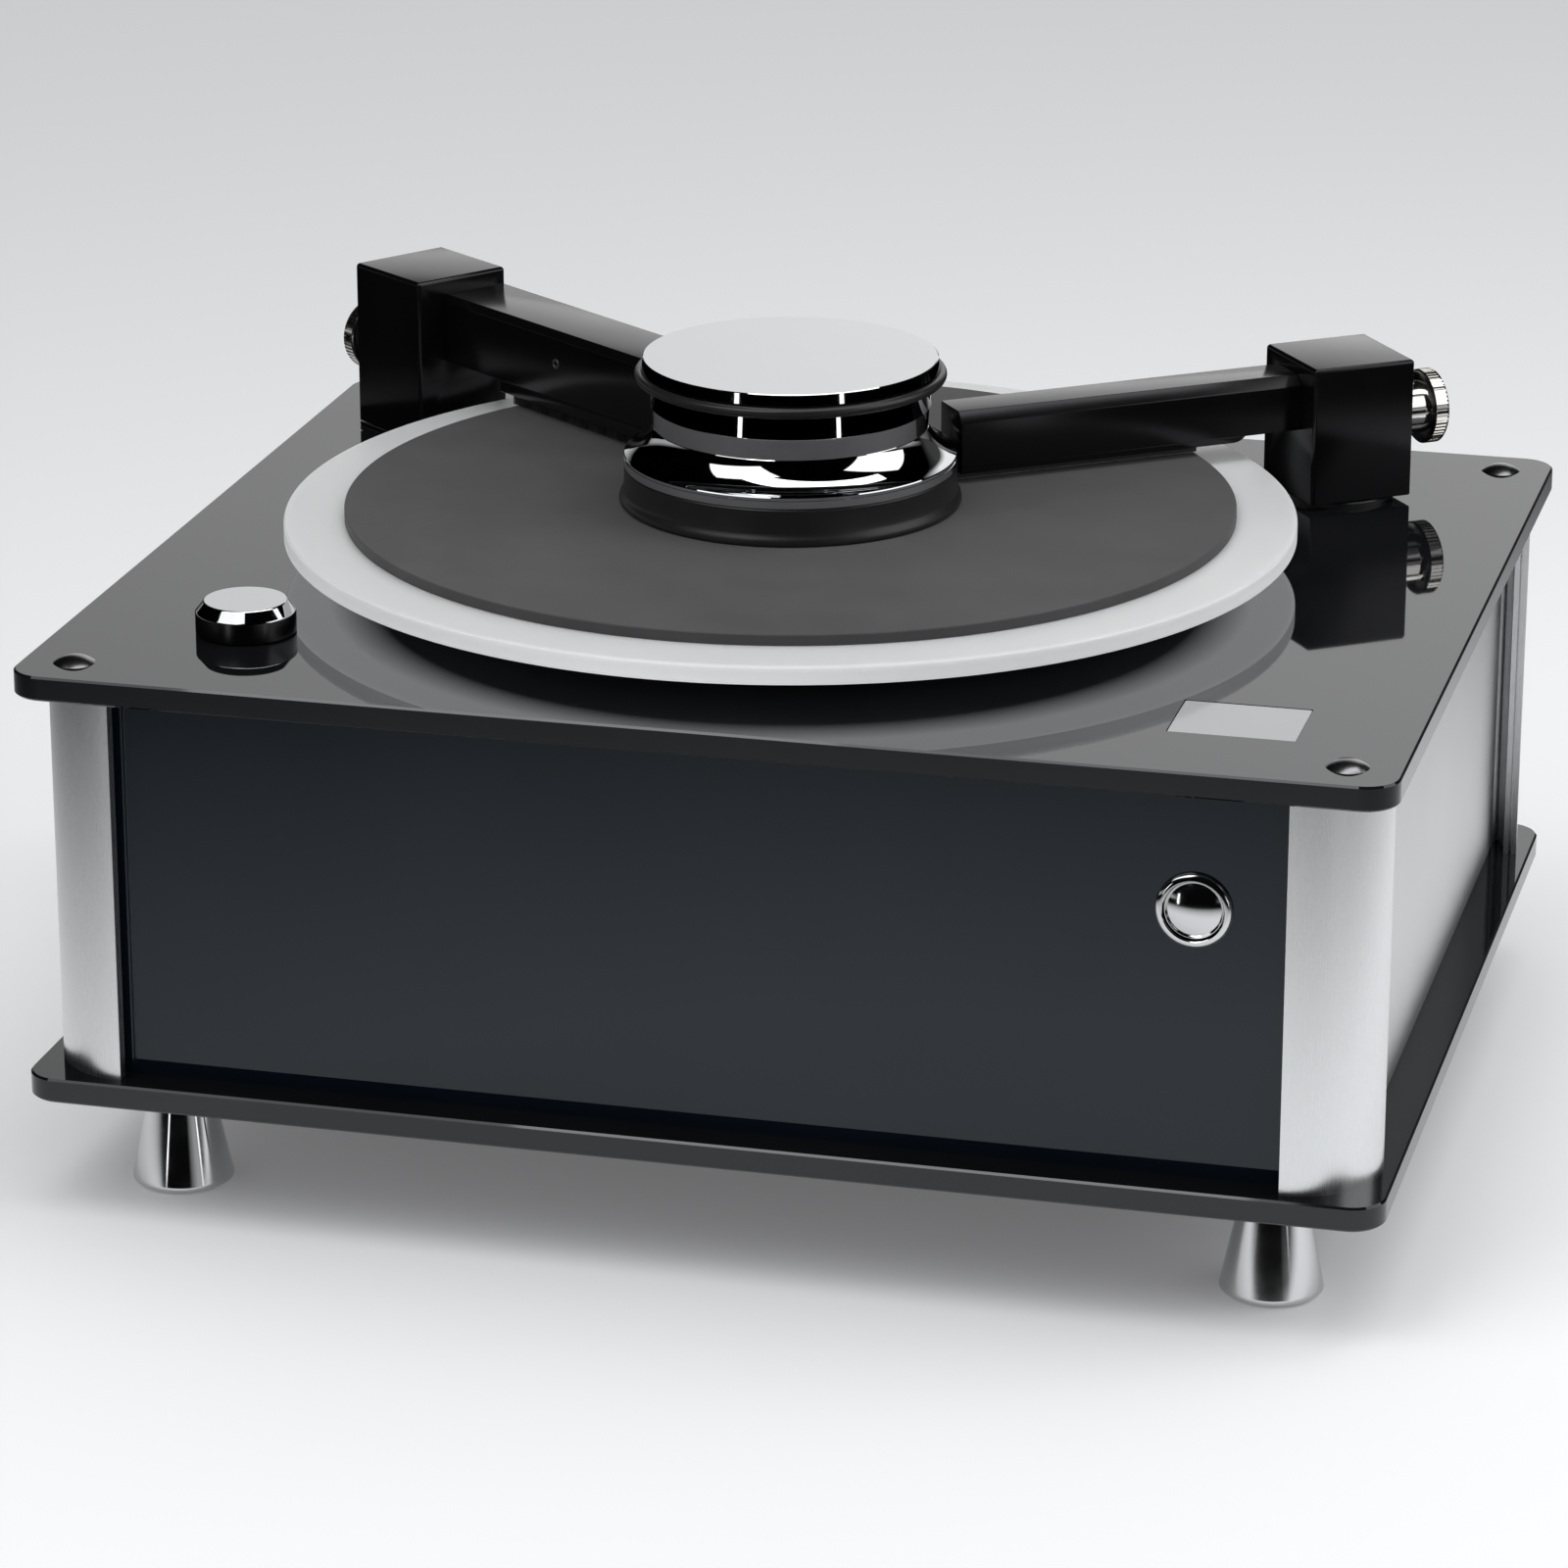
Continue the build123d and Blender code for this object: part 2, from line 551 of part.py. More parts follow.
PANEL_MIDDLE_Z = FLOOR_Z + BODY_HEIGHT / 2
with BuildPart() as front_panel:
    front_sheet = Plane(origin=(0, -FRONT_FACE, 0), x_dir=(1, 0, 0), z_dir=(0, -1, 0))
    with BuildSketch(front_sheet):
        with Locations((0, PANEL_MIDDLE_Z)):
            Rectangle(FRONT_PANEL_LENGTH, BODY_HEIGHT)
        with Locations((SWITCH_X, SWITCH_Z)):
            Circle(BARREL_RADIUS + FIT_GAP, mode=Mode.SUBTRACT)
    extrude(amount=-FRONT_PANEL_THICKNESS)
save(front_panel, "front_panel")

with BuildPart() as rear_panel:
    rear_sheet = Plane(origin=(0, FRONT_FACE, 0), x_dir=(-1, 0, 0), z_dir=(0, 1, 0))
    with BuildSketch(rear_sheet):
        with Locations((0, PANEL_MIDDLE_Z)):
            Rectangle(FRONT_PANEL_LENGTH, BODY_HEIGHT)
        with Locations((-INLET_X, INLET_Z)):
            Rectangle(INLET_LENGTH + 2 * WINDOW_GAP, INLET_TALL + 2 * WINDOW_GAP, mode=Mode.SUBTRACT)
        with Locations((-DRAIN_X, DRAIN_Z)):
            Circle(DRAIN_BARB_RADIUS + FIT_GAP, mode=Mode.SUBTRACT)
        with Locations((-VENT_X, CEILING_Z - VENT_DROP)):
            with GridLocations(VENT_SPACING, 0, VENT_COUNT, 1):
                SlotOverall(VENT_LENGTH, VENT_WIDTH, rotation=90, mode=Mode.SUBTRACT)
    extrude(amount=-FRONT_PANEL_THICKNESS)
save(rear_panel, "rear_panel")

# ---------------------------------------------------------------- case: screws
with BuildPart() as deck_screws:
    with BuildSketch(upright(SCREW_X, SCREW_Y)):
        with BuildLine():
            screw_foot = DECK_Z - CORNER_SCREW_LENGTH
            Polyline(
                (0, DECK_Z + DOME_HEIGHT),
                (0, screw_foot),
                (CORNER_SCREW_RADIUS, screw_foot),
                (CORNER_SCREW_RADIUS, DECK_Z),
                (DOME_RADIUS, DECK_Z),
            )
            dome_rise = (DOME_RADIUS**2 + DOME_HEIGHT**2) / (2 * DOME_HEIGHT)
            RadiusArc((DOME_RADIUS, DECK_Z), (0, DECK_Z + DOME_HEIGHT), -dome_rise)
        make_face()
    revolve(axis=upright_axis(SCREW_X, SCREW_Y))
    mirror(about=Plane.YZ)
    mirror(about=Plane.XZ)
save(deck_screws, "deck_screws")

with BuildPart() as base_screws:
    with BuildSketch(Plane.XY.offset(BASE_Z)):
        with GridLocations(2 * SCREW_X, 2 * SCREW_Y, 2, 2):
            Circle(BASE_HEAD_RADIUS)
    extrude(amount=BASE_HEAD_HEIGHT)
    with BuildSketch(Plane.XY.offset(BASE_Z)):
        with GridLocations(2 * SCREW_X, 2 * SCREW_Y, 2, 2):
            Circle(CORNER_SCREW_RADIUS)
    extrude(amount=CORNER_SCREW_LENGTH)
    with BuildSketch(Plane.XY.offset(BASE_Z)):
        with GridLocations(2 * SCREW_X, 2 * SCREW_Y, 2, 2):
            RegularPolygon(BASE_HEAD_RADIUS / 2, 6)
    extrude(amount=BASE_HEAD_HEIGHT / 2, mode=Mode.SUBTRACT)
save(base_screws, "base_screws")

# ---------------------------------------------------------------- feet
with BuildPart() as feet:
    with BuildSketch(upright(FOOT_X, FOOT_Y)):
        with BuildLine():
            Polyline(
                (0, PAD_THICKNESS),
                (PAD_RADIUS + FIT_GAP, PAD_THICKNESS),
                (PAD_RADIUS + FIT_GAP, PAD_PROUD),
                (FOOT_BASE_RADIUS - FOOT_EDGE, PAD_PROUD),
                (FOOT_BASE_RADIUS, PAD_PROUD + FOOT_EDGE),
                (FOOT_TOP_RADIUS, BASE_Z),
                (FOOT_BOLT_RADIUS + FIT_GAP, BASE_Z),
                (FOOT_BOLT_RADIUS + FIT_GAP, BASE_Z - FOOT_BOLT_DEPTH - END_GAP),
                (0, BASE_Z - FOOT_BOLT_DEPTH - END_GAP),
                close=True,
            )
        make_face()
    revolve(axis=upright_axis(FOOT_X, FOOT_Y))
    mirror(about=Plane.YZ)
    mirror(about=Plane.XZ)
save(feet, "feet")

with BuildPart() as foot_pads:
    with BuildSketch(Plane.XY):
        with GridLocations(2 * FOOT_X, 2 * FOOT_Y, 2, 2):
            Circle(PAD_RADIUS)
    extrude(amount=PAD_THICKNESS)
save(foot_pads, "foot_pads")

with BuildPart() as foot_bolts:
    with BuildSketch(Plane.XY.offset(BASE_Z - FOOT_BOLT_DEPTH)):
        with GridLocations(2 * FOOT_X, 2 * FOOT_Y, 2, 2):
            Circle(FOOT_BOLT_RADIUS)
    extrude(amount=FOOT_BOLT_DEPTH + PLATE_THICKNESS + FOOT_BOLT_HEAD_HEIGHT)
    with BuildSketch(Plane.XY.offset(FLOOR_Z)):
        with GridLocations(2 * FOOT_X, 2 * FOOT_Y, 2, 2):
            RegularPolygon(FOOT_BOLT_HEAD_RADIUS, 6)
    extrude(amount=FOOT_BOLT_HEAD_HEIGHT)
save(foot_bolts, "foot_bolts")

# ---------------------------------------------------------------- platter
with BuildPart() as platter:
    with BuildSketch(upright(PLATTER_X, PLATTER_Y)):
        with BuildLine():
            rim_start = PLATTER_RADIUS - PLATTER_THICKNESS / 2
            Polyline(
                (rim_start, PLATTER_FOOT),
                (SPINDLE_SHAFT_RADIUS + FIT_GAP, PLATTER_FOOT),
                (SPINDLE_SHAFT_RADIUS + FIT_GAP, PLATTER_TOP),
                (rim_start, PLATTER_TOP),
            )
            ThreePointArc(
                (rim_start, PLATTER_TOP),
                (PLATTER_RADIUS, (PLATTER_TOP + PLATTER_FOOT) / 2),
                (rim_start, PLATTER_FOOT),
            )
        make_face()
    revolve(axis=upright_axis(PLATTER_X, PLATTER_Y))
save(platter, "platter")

with BuildPart() as platter_mat:
    with BuildSketch(Plane.XY.offset(PLATTER_TOP)):
        with Locations((PLATTER_X, PLATTER_Y)):
            Circle(MAT_RADIUS)
            Circle(SPINDLE_PIN_RADIUS + FREE_GAP, mode=Mode.SUBTRACT)
    extrude(amount=MAT_THICKNESS)
    mat_rim = platter_mat.edges().group_by(Axis.Z)[-1].sort_by(SortBy.RADIUS)[-1]
    fillet(mat_rim, MAT_EDGE)
save(platter_mat, "platter_mat")

# The spindle is turned in one piece: the pin that centres the record, the flange under the
# platter, the slinger that keeps fluid off the bearing, and the shaft down to the pulley.
with BuildPart() as spindle:
    with BuildSketch(upright(PLATTER_X, PLATTER_Y)):
        with BuildLine():
            pin_top = MAT_TOP + SPINDLE_PIN_HEIGHT
            flange_foot = PLATTER_FOOT - SPINDLE_FLANGE_THICKNESS
            Polyline(
                (0, PULLEY_Z),
                (SPINDLE_SHAFT_RADIUS, PULLEY_Z),
                (SPINDLE_SHAFT_RADIUS, DECK_Z + SLINGER_GAP),
                (SLINGER_RADIUS, DECK_Z + SLINGER_GAP),
                (SLINGER_RADIUS, flange_foot),
                (SPINDLE_FLANGE_RADIUS, flange_foot),
                (SPINDLE_FLANGE_RADIUS, PLATTER_FOOT),
                (SPINDLE_SHAFT_RADIUS, PLATTER_FOOT),
                (SPINDLE_SHAFT_RADIUS, PLATTER_TOP),
                (SPINDLE_PIN_RADIUS, PLATTER_TOP),
                (SPINDLE_PIN_RADIUS, pin_top - SPINDLE_PIN_RADIUS / 2),
                (SPINDLE_PIN_RADIUS / 2, pin_top),
                (0, pin_top),
                close=True,
            )
        make_face()
    revolve(axis=upright_axis(PLATTER_X, PLATTER_Y))
save(spindle, "spindle")

with BuildPart() as bearing_housing:
    with BuildSketch(upright(PLATTER_X, PLATTER_Y)):
        with BuildLine():
            Polyline(
                (BUSH_RADIUS + FIT_GAP, HOUSING_FOOT),
                (HOUSING_RADIUS, HOUSING_FOOT),
                (HOUSING_RADIUS, CEILING_Z - HOUSING_FLANGE_THICKNESS),
                (HOUSING_FLANGE_RADIUS, CEILING_Z - HOUSING_FLANGE_THICKNESS),
                (HOUSING_FLANGE_RADIUS, CEILING_Z),
                (BUSH_RADIUS + FIT_GAP, CEILING_Z),
                close=True,
            )
        make_face()
    revolve(axis=upright_axis(PLATTER_X, PLATTER_Y))
save(bearing_housing, "bearing_housing")

with BuildPart() as spindle_bushes:
    for bush_foot in (HOUSING_FOOT, CEILING_Z - BUSH_LENGTH):
        with BuildSketch(Plane.XY.offset(bush_foot)):
            with Locations((PLATTER_X, PLATTER_Y)):
                Circle(BUSH_RADIUS)
                Circle(SPINDLE_SHAFT_RADIUS + FIT_GAP, mode=Mode.SUBTRACT)
        extrude(amount=BUSH_LENGTH)
save(spindle_bushes, "spindle_bushes")

# ---------------------------------------------------------------- drive
with BuildPart() as driven_pulley:
    with BuildSketch(upright(PLATTER_X, PLATTER_Y)):
        with BuildLine():
            hub_top = PULLEY_Z + PULLEY_WEB + PULLEY_HUB_HEIGHT
            rim_bore = PULLEY_RADIUS - PULLEY_RIM
            Polyline(
                (SPINDLE_SHAFT_RADIUS + FIT_GAP, PULLEY_Z),
                (PULLEY_RADIUS, PULLEY_Z),
                (PULLEY_RADIUS, PULLEY_Z + PULLEY_WIDTH),
                (rim_bore, PULLEY_Z + PULLEY_WIDTH),
                (rim_bore, PULLEY_Z + PULLEY_WEB),
                (PULLEY_HUB_RADIUS, PULLEY_Z + PULLEY_WEB),
                (PULLEY_HUB_RADIUS, hub_top),
                (SPINDLE_SHAFT_RADIUS + FIT_GAP, hub_top),
                close=True,
            )
        make_face()
    revolve(axis=upright_axis(PLATTER_X, PLATTER_Y))
    with BuildSketch(Plane.XY.offset(PULLEY_Z)):
        with Locations((PLATTER_X, PLATTER_Y)):
            with PolarLocations((PULLEY_HUB_RADIUS + rim_bore) / 2, PULLEY_HOLES):
                Circle(PULLEY_HOLE_RADIUS)
    extrude(amount=PULLEY_WEB, mode=Mode.SUBTRACT)
save(driven_pulley, "driven_pulley")

with BuildPart() as motor_pulley:
    with BuildSketch(Plane.XY.offset(PULLEY_Z + FREE_GAP)):
        with Locations((MOTOR_X, MOTOR_Y)):
            Circle(MOTOR_PULLEY_RADIUS)
    extrude(amount=PULLEY_WIDTH - FREE_GAP)
    shaft_foot = PULLEY_Z - BRACKET_THICKNESS - MOTOR_HEIGHT / 2
    with BuildSketch(Plane.XY.offset(shaft_foot)):
        with Locations((MOTOR_X, MOTOR_Y)):
            Circle(MOTOR_SHAFT_RADIUS)
    extrude(until=Until.NEXT)
save(motor_pulley, "motor_pulley")


def belt_line(offset):
    """Fill the area inside the belt's centre line, grown by an offset."""
    with Locations((PLATTER_X, PLATTER_Y)):
        Circle(PULLEY_PITCH_RADIUS + offset)
    with Locations((MOTOR_X, MOTOR_Y)):
        Circle(MOTOR_PITCH_RADIUS + offset)
    make_hull()


with BuildPart() as drive_belt:
    with BuildSketch(Plane.XY.offset(PULLEY_MIDDLE)):
        belt_line(BELT_THICKNESS / 2)
    extrude(amount=BELT_HEIGHT / 2, both=True)
    with BuildSketch(Plane.XY.offset(PULLEY_MIDDLE)):
        belt_line(-BELT_THICKNESS / 2)
    extrude(amount=BELT_HEIGHT / 2, both=True, mode=Mode.SUBTRACT)
save(drive_belt, "drive_belt")

with BuildPart() as drive_motor:
    motor_top = FLOOR_Z + BRACKET_HEIGHT
    with BuildSketch(Plane.XY.offset(motor_top)):
        with Locations((MOTOR_X, MOTOR_Y)):
            Circle(MOTOR_RADIUS)
    extrude(amount=-MOTOR_HEIGHT)
    fillet(drive_motor.edges().group_by(Axis.Z)[0], MOTOR_EDGE)
    with BuildSketch(Plane.XY.offset(motor_top)):
        with Locations((MOTOR_X, MOTOR_Y)):
            Circle(MOTOR_SHAFT_RADIUS + FIT_GAP)
    extrude(amount=-(MOTOR_HEIGHT / 2 + END_GAP), mode=Mode.SUBTRACT)
save(drive_motor, "drive_motor")

with BuildPart() as motor_bracket:
    bracket_plane = Plane(origin=(MOTOR_X, MOTOR_Y, FLOOR_Z), x_dir=(1, 0, 0), z_dir=(0, -1, 0))
    with BuildSketch(bracket_plane):
        half = BRACKET_LENGTH / 2
        with BuildLine():
            Polyline(
                (-half - BRACKET_FOOT, 0),
                (-half, 0),
                (-half, BRACKET_HEIGHT),
                (half, BRACKET_HEIGHT),
                (half, 0),
                (half + BRACKET_FOOT, 0),
                (half + BRACKET_FOOT, BRACKET_THICKNESS),
                (half + BRACKET_THICKNESS, BRACKET_THICKNESS),
                (half + BRACKET_THICKNESS, BRACKET_HEIGHT + BRACKET_THICKNESS),
                (-half - BRACKET_THICKNESS, BRACKET_HEIGHT + BRACKET_THICKNESS),
                (-half - BRACKET_THICKNESS, BRACKET_THICKNESS),
                (-half - BRACKET_FOOT, BRACKET_THICKNESS),
                close=True,
            )
        make_face()
    extrude(amount=BRACKET_DEPTH / 2, both=True)
    with BuildSketch(Plane.XY.offset(FLOOR_Z + BRACKET_HEIGHT)):
        with Locations((MOTOR_X, MOTOR_Y)):
            Circle(MOTOR_SHAFT_RADIUS + END_GAP)
    extrude(amount=BRACKET_THICKNESS, mode=Mode.SUBTRACT)
save(motor_bracket, "motor_bracket")

# ---------------------------------------------------------------- record clamp
with BuildPart() as clamp_seal:
    with BuildSketch(upright(PLATTER_X, PLATTER_Y)):
        with BuildLine():
            seal_top = MAT_TOP + CLAMP_SEAL_THICKNESS
            skirt_top = DECK_Z + CLAMP_SKIRT_TOP
            Polyline(
                (SPINDLE_PIN_RADIUS + FREE_GAP, MAT_TOP),
                (CLAMP_SEAL_RADIUS - CLAMP_EDGE, MAT_TOP),
                (CLAMP_SEAL_RADIUS, MAT_TOP + CLAMP_EDGE),
                (CLAMP_SKIRT_RADIUS - CLAMP_EDGE, seal_top),
                (CLAMP_SKIRT_RADIUS, seal_top + 2 * CLAMP_EDGE),
                (CLAMP_SKIRT_RADIUS, skirt_top),
                (CLAMP_NECK_RADIUS, skirt_top),
                (CLAMP_NECK_RADIUS, seal_top),
                (SPINDLE_PIN_RADIUS + FREE_GAP, seal_top),
                close=True,
            )
        make_face()
    revolve(axis=upright_axis(PLATTER_X, PLATTER_Y))
save(clamp_seal, "clamp_seal")

with BuildPart() as clamp_weight:
    with BuildSketch(upright(PLATTER_X, PLATTER_Y)):
        with BuildLine():
            rim_top = DECK_Z + CLAMP_RIM_TOP
            neck_foot = DECK_Z + CLAMP_NECK_FOOT
            band_foot = DECK_Z + CLAMP_BAND_FOOT
            band_top = DECK_Z + CLAMP_BAND_TOP
            bore_top = MAT_TOP + SPINDLE_PIN_HEIGHT + END_GAP
            well_foot = DECK_Z + CLAMP_CAP_FOOT - CLAMP_SPIGOT_DEPTH
            Polyline(
                (0, bore_top),
                (SPINDLE_PIN_RADIUS + FIT_GAP, bore_top),
                (SPINDLE_PIN_RADIUS + FIT_GAP, seal_top),
                (CLAMP_NECK_RADIUS - FIT_GAP, seal_top),
                (CLAMP_NECK_RADIUS - FIT_GAP, skirt_top),
                (CLAMP_SKIRT_RADIUS, skirt_top),
                (CLAMP_SKIRT_RADIUS, rim_top - CLAMP_EDGE),
                (CLAMP_SKIRT_RADIUS - CLAMP_EDGE, rim_top),
            )
            flare_start = (CLAMP_SKIRT_RADIUS - CLAMP_EDGE, rim_top)
            flare_end = (CLAMP_NECK_RADIUS, neck_foot)
            TangentArc(flare_end, flare_start, tangent=(0, -1))
            Polyline(
                flare_end,
                (CLAMP_NECK_RADIUS, band_foot),
                (CLAMP_BAND_RADIUS, band_foot + CLAMP_EDGE),
                (CLAMP_BAND_RADIUS, band_top),
                (O_RING_RADIUS - 2 * O_RING_SECTION, band_top),
                (O_RING_RADIUS - 2 * O_RING_SECTION, DECK_Z + CLAMP_CAP_FOOT),
                (CLAMP_SPIGOT_RADIUS + FIT_GAP, DECK_Z + CLAMP_CAP_FOOT),
                (CLAMP_SPIGOT_RADIUS + FIT_GAP, well_foot),
                (0, well_foot),
                (0, bore_top),
            )
        make_face()
    revolve(axis=upright_axis(PLATTER_X, PLATTER_Y))
save(clamp_weight, "clamp_weight")

with BuildPart() as clamp_o_ring:
    with BuildSketch(upright(PLATTER_X, PLATTER_Y)):
        ring_height = DECK_Z + (CLAMP_BAND_TOP + CLAMP_CAP_FOOT) / 2
        with Locations((O_RING_RADIUS - O_RING_SECTION + FIT_GAP, ring_height)):
            Circle(O_RING_SECTION - FIT_GAP)
    revolve(axis=upright_axis(PLATTER_X, PLATTER_Y))
save(clamp_o_ring, "clamp_o_ring")

with BuildPart() as clamp_cap:
    with BuildSketch(upright(PLATTER_X, PLATTER_Y)):
        with BuildLine():
            cap_foot = DECK_Z + CLAMP_CAP_FOOT
            cap_top = DECK_Z + CLAMP_CAP_TOP
            Polyline(
                (0, well_foot + END_GAP),
                (CLAMP_SPIGOT_RADIUS, well_foot + END_GAP),
                (CLAMP_SPIGOT_RADIUS, cap_foot),
                (CLAMP_CAP_RADIUS - CLAMP_EDGE, cap_foot),
                (CLAMP_CAP_RADIUS, cap_foot + CLAMP_EDGE),
                (CLAMP_CAP_RADIUS, cap_top - CLAMP_EDGE),
                (CLAMP_CAP_RADIUS - CLAMP_EDGE, cap_top),
                (0, cap_top),
                close=True,
            )
        make_face()
    revolve(axis=upright_axis(PLATTER_X, PLATTER_Y))
save(clamp_cap, "clamp_cap")

# ---------------------------------------------------------------- arms: bushes, pivots, towers
with BuildPart() as arm_bushes:
    with BuildSketch(Plane.XY.offset(DECK_Z)):
        with Locations((SUCTION_X, ARMS_Y), (BRUSH_X, ARMS_Y)):
            Circle(ARM_BUSH_FLANGE_RADIUS)
    extrude(amount=ARM_BUSH_FLANGE)
    with BuildSketch(Plane.XY.offset(DECK_Z)):
        with Locations((SUCTION_X, ARMS_Y), (BRUSH_X, ARMS_Y)):
            Circle(ARM_BUSH_RADIUS)
    extrude(amount=-ARM_BUSH_LENGTH)
    with BuildSketch(Plane.XY.offset(DECK_Z + ARM_BUSH_FLANGE)):
        with Locations((SUCTION_X, ARMS_Y), (BRUSH_X, ARMS_Y)):
            Circle(PIVOT_RADIUS + FIT_GAP)
    extrude(amount=-(ARM_BUSH_FLANGE + ARM_BUSH_LENGTH), mode=Mode.SUBTRACT)
save(arm_bushes, "arm_bushes")

for name, arm_x in (("suction_pivot", SUCTION_X), ("brush_pivot", BRUSH_X)):
    with BuildPart() as pivot:
        with BuildSketch(Plane.XY.offset(PIVOT_FOOT)):
            with Locations((arm_x, ARMS_Y)):
                Circle(PIVOT_RADIUS)
                Circle(PIVOT_BORE, mode=Mode.SUBTRACT)
        extrude(amount=PIVOT_LENGTH + TOWER_BASE + PIVOT_SPIGOT)
    save(pivot, name)

TOWERS = (
    ("suction_tower", SUCTION_X, SUCTION_HEADING, SUCTION_TOWER_TOP, SUCTION_BAR_FOOT, SUCTION_BAR_TOP),
    ("brush_tower", BRUSH_X, BRUSH_HEADING, BRUSH_TOWER_TOP, BRUSH_BAR_FOOT, BRUSH_BAR_TOP),
)
for name, arm_x, heading, tower_top, bar_foot, bar_top in TOWERS:
    duct_height = (bar_foot + bar_top) / 2
    with BuildPart() as tower:
        with BuildSketch(arm_level(arm_x, heading, TOWER_BASE)):
            Rectangle(TOWER_SIZE, TOWER_SIZE)
        extrude(amount=tower_top - TOWER_BASE)
        tower_edges = tower.edges().filter_by(Axis.Z) + tower.edges().group_by(Axis.Z)[-1]
        chamfer(tower_edges, TOWER_EDGE)
        with BuildSketch(arm_level(arm_x, heading, TOWER_BASE)):
            Circle(PIVOT_RADIUS + FIT_GAP)
        extrude(amount=PIVOT_SPIGOT, mode=Mode.SUBTRACT)
        with BuildSketch(arm_level(arm_x, heading, TOWER_BASE)):
            Circle(PIVOT_BORE)
        extrude(amount=duct_height - TOWER_BASE, mode=Mode.SUBTRACT)
        with BuildSketch(arm_section(arm_x, heading, TOWER_SIZE / 2)):
            with Locations((0, duct_height)):
                Circle(PIVOT_BORE)
        extrude(amount=-TOWER_SIZE / 2, mode=Mode.SUBTRACT)
        with BuildSketch(arm_section(arm_x, heading, -TOWER_SIZE / 2)):
            with Locations((0, THUMBSCREW_HEIGHT)):
                Circle(THUMBSCREW_SHANK_RADIUS + FIT_GAP)
        extrude(amount=THUMBSCREW_SHANK + FREE_GAP, mode=Mode.SUBTRACT)
    save(tower, name)

# ---------------------------------------------------------------- suction arm
# The bar is a hollow tube with a slot along its underside. The nozzle strip carries the slot on
# to the two felt lips, which stand either side of it and wipe the record.
with BuildPart() as suction_bar:
    half = SUCTION_BAR_WIDTH / 2
    with BuildSketch(arm_section(SUCTION_X, SUCTION_HEADING, TOWER_SIZE / 2)):
        with BuildLine():
            Polyline(
                (-half, SUCTION_BAR_FOOT),
                (half, SUCTION_BAR_FOOT),
                (half, SUCTION_BAR_TOP - SUCTION_BAR_EDGE),
                (half - SUCTION_BAR_EDGE, SUCTION_BAR_TOP),
                (-half, SUCTION_BAR_TOP),
                close=True,
            )
        make_face()
    extrude(amount=ARM_TIP - TOWER_SIZE / 2)
    duct_middle = (SUCTION_BAR_FOOT + SUCTION_BAR_TOP) / 2
    with BuildSketch(arm_section(SUCTION_X, SUCTION_HEADING, TOWER_SIZE / 2)):
        with Locations((0, duct_middle)):
            RectangleRounded(
                SUCTION_BAR_WIDTH - 2 * SUCTION_WALL,
                SUCTION_BAR_TOP - SUCTION_BAR_FOOT - 2 * SUCTION_WALL,
                SUCTION_WALL,
            )
    extrude(amount=ARM_TIP - TOWER_SIZE / 2 - SUCTION_WALL, mode=Mode.SUBTRACT)
    with BuildSketch(arm_level(SUCTION_X, SUCTION_HEADING, SUCTION_BAR_FOOT)):
        with Locations(((LIP_START + ARM_TIP) / 2, 0)):
            SlotOverall(ARM_TIP - LIP_START - 2 * SLOT_END, SLOT_WIDTH)
    extrude(amount=SUCTION_WALL, mode=Mode.SUBTRACT)
save(suction_bar, "suction_bar")

with BuildPart() as suction_nozzle:
    nozzle_foot = SUCTION_BAR_FOOT - NOZZLE_THICKNESS
    with BuildSketch(arm_side(SUCTION_X, SUCTION_HEADING)):
        with BuildLine():
            Polyline(
                (NOZZLE_START + NOZZLE_LEAD, nozzle_foot),
                (ARM_TIP, nozzle_foot),
                (ARM_TIP, SUCTION_BAR_FOOT),
                (NOZZLE_START, SUCTION_BAR_FOOT),
            )
            TangentArc(
                (NOZZLE_START + NOZZLE_LEAD, nozzle_foot),
                (NOZZLE_START, SUCTION_BAR_FOOT),
                tangent=(-1, 0),
            )
        make_face()
    extrude(amount=SUCTION_BAR_WIDTH / 2, both=True)
    with BuildSketch(arm_level(SUCTION_X, SUCTION_HEADING, nozzle_foot)):
        with Locations(((LIP_START + ARM_TIP) / 2, 0)):
            SlotOverall(ARM_TIP - LIP_START - 2 * SLOT_END, SLOT_WIDTH)
    extrude(amount=NOZZLE_THICKNESS, mode=Mode.SUBTRACT)
save(suction_nozzle, "suction_nozzle")

with BuildPart() as suction_lips:
    with BuildSketch(arm_level(SUCTION_X, SUCTION_HEADING, nozzle_foot)):
        with Locations(((LIP_START + ARM_TIP) / 2, 0)):
            with GridLocations(0, SLOT_WIDTH + LIP_WIDTH, 1, 2):
                Rectangle(ARM_TIP - LIP_START, LIP_WIDTH)
    extrude(amount=-LIP_THICKNESS)
save(suction_lips, "suction_lips")

# ---------------------------------------------------------------- brush arm
with BuildPart() as brush_bar:
    with BuildSketch(arm_section(BRUSH_X, BRUSH_HEADING, TOWER_SIZE / 2)):
        with BuildLine():
            Polyline(
                (-BRUSH_BAR_FRONT, BRUSH_BAR_FOOT),
                (BRUSH_BAR_BACK, BRUSH_BAR_FOOT),
                (BRUSH_BAR_BACK, BRUSH_BAR_TOP),
                (-BRUSH_BAR_FRONT + BRUSH_BAR_EDGE, BRUSH_BAR_TOP),
                (-BRUSH_BAR_FRONT, BRUSH_BAR_TOP - BRUSH_BAR_EDGE),
                close=True,
            )
        make_face()
    extrude(amount=ARM_TIP - TOWER_SIZE / 2)
    with BuildSketch(arm_section(BRUSH_X, BRUSH_HEADING, TOWER_SIZE / 2)):
        with Locations((0, (BRUSH_BAR_FOOT + BRUSH_BAR_TOP) / 2)):
            Circle(FLUID_BORE)
    extrude(amount=ARM_TIP - TOWER_SIZE / 2 - SUCTION_WALL, mode=Mode.SUBTRACT)
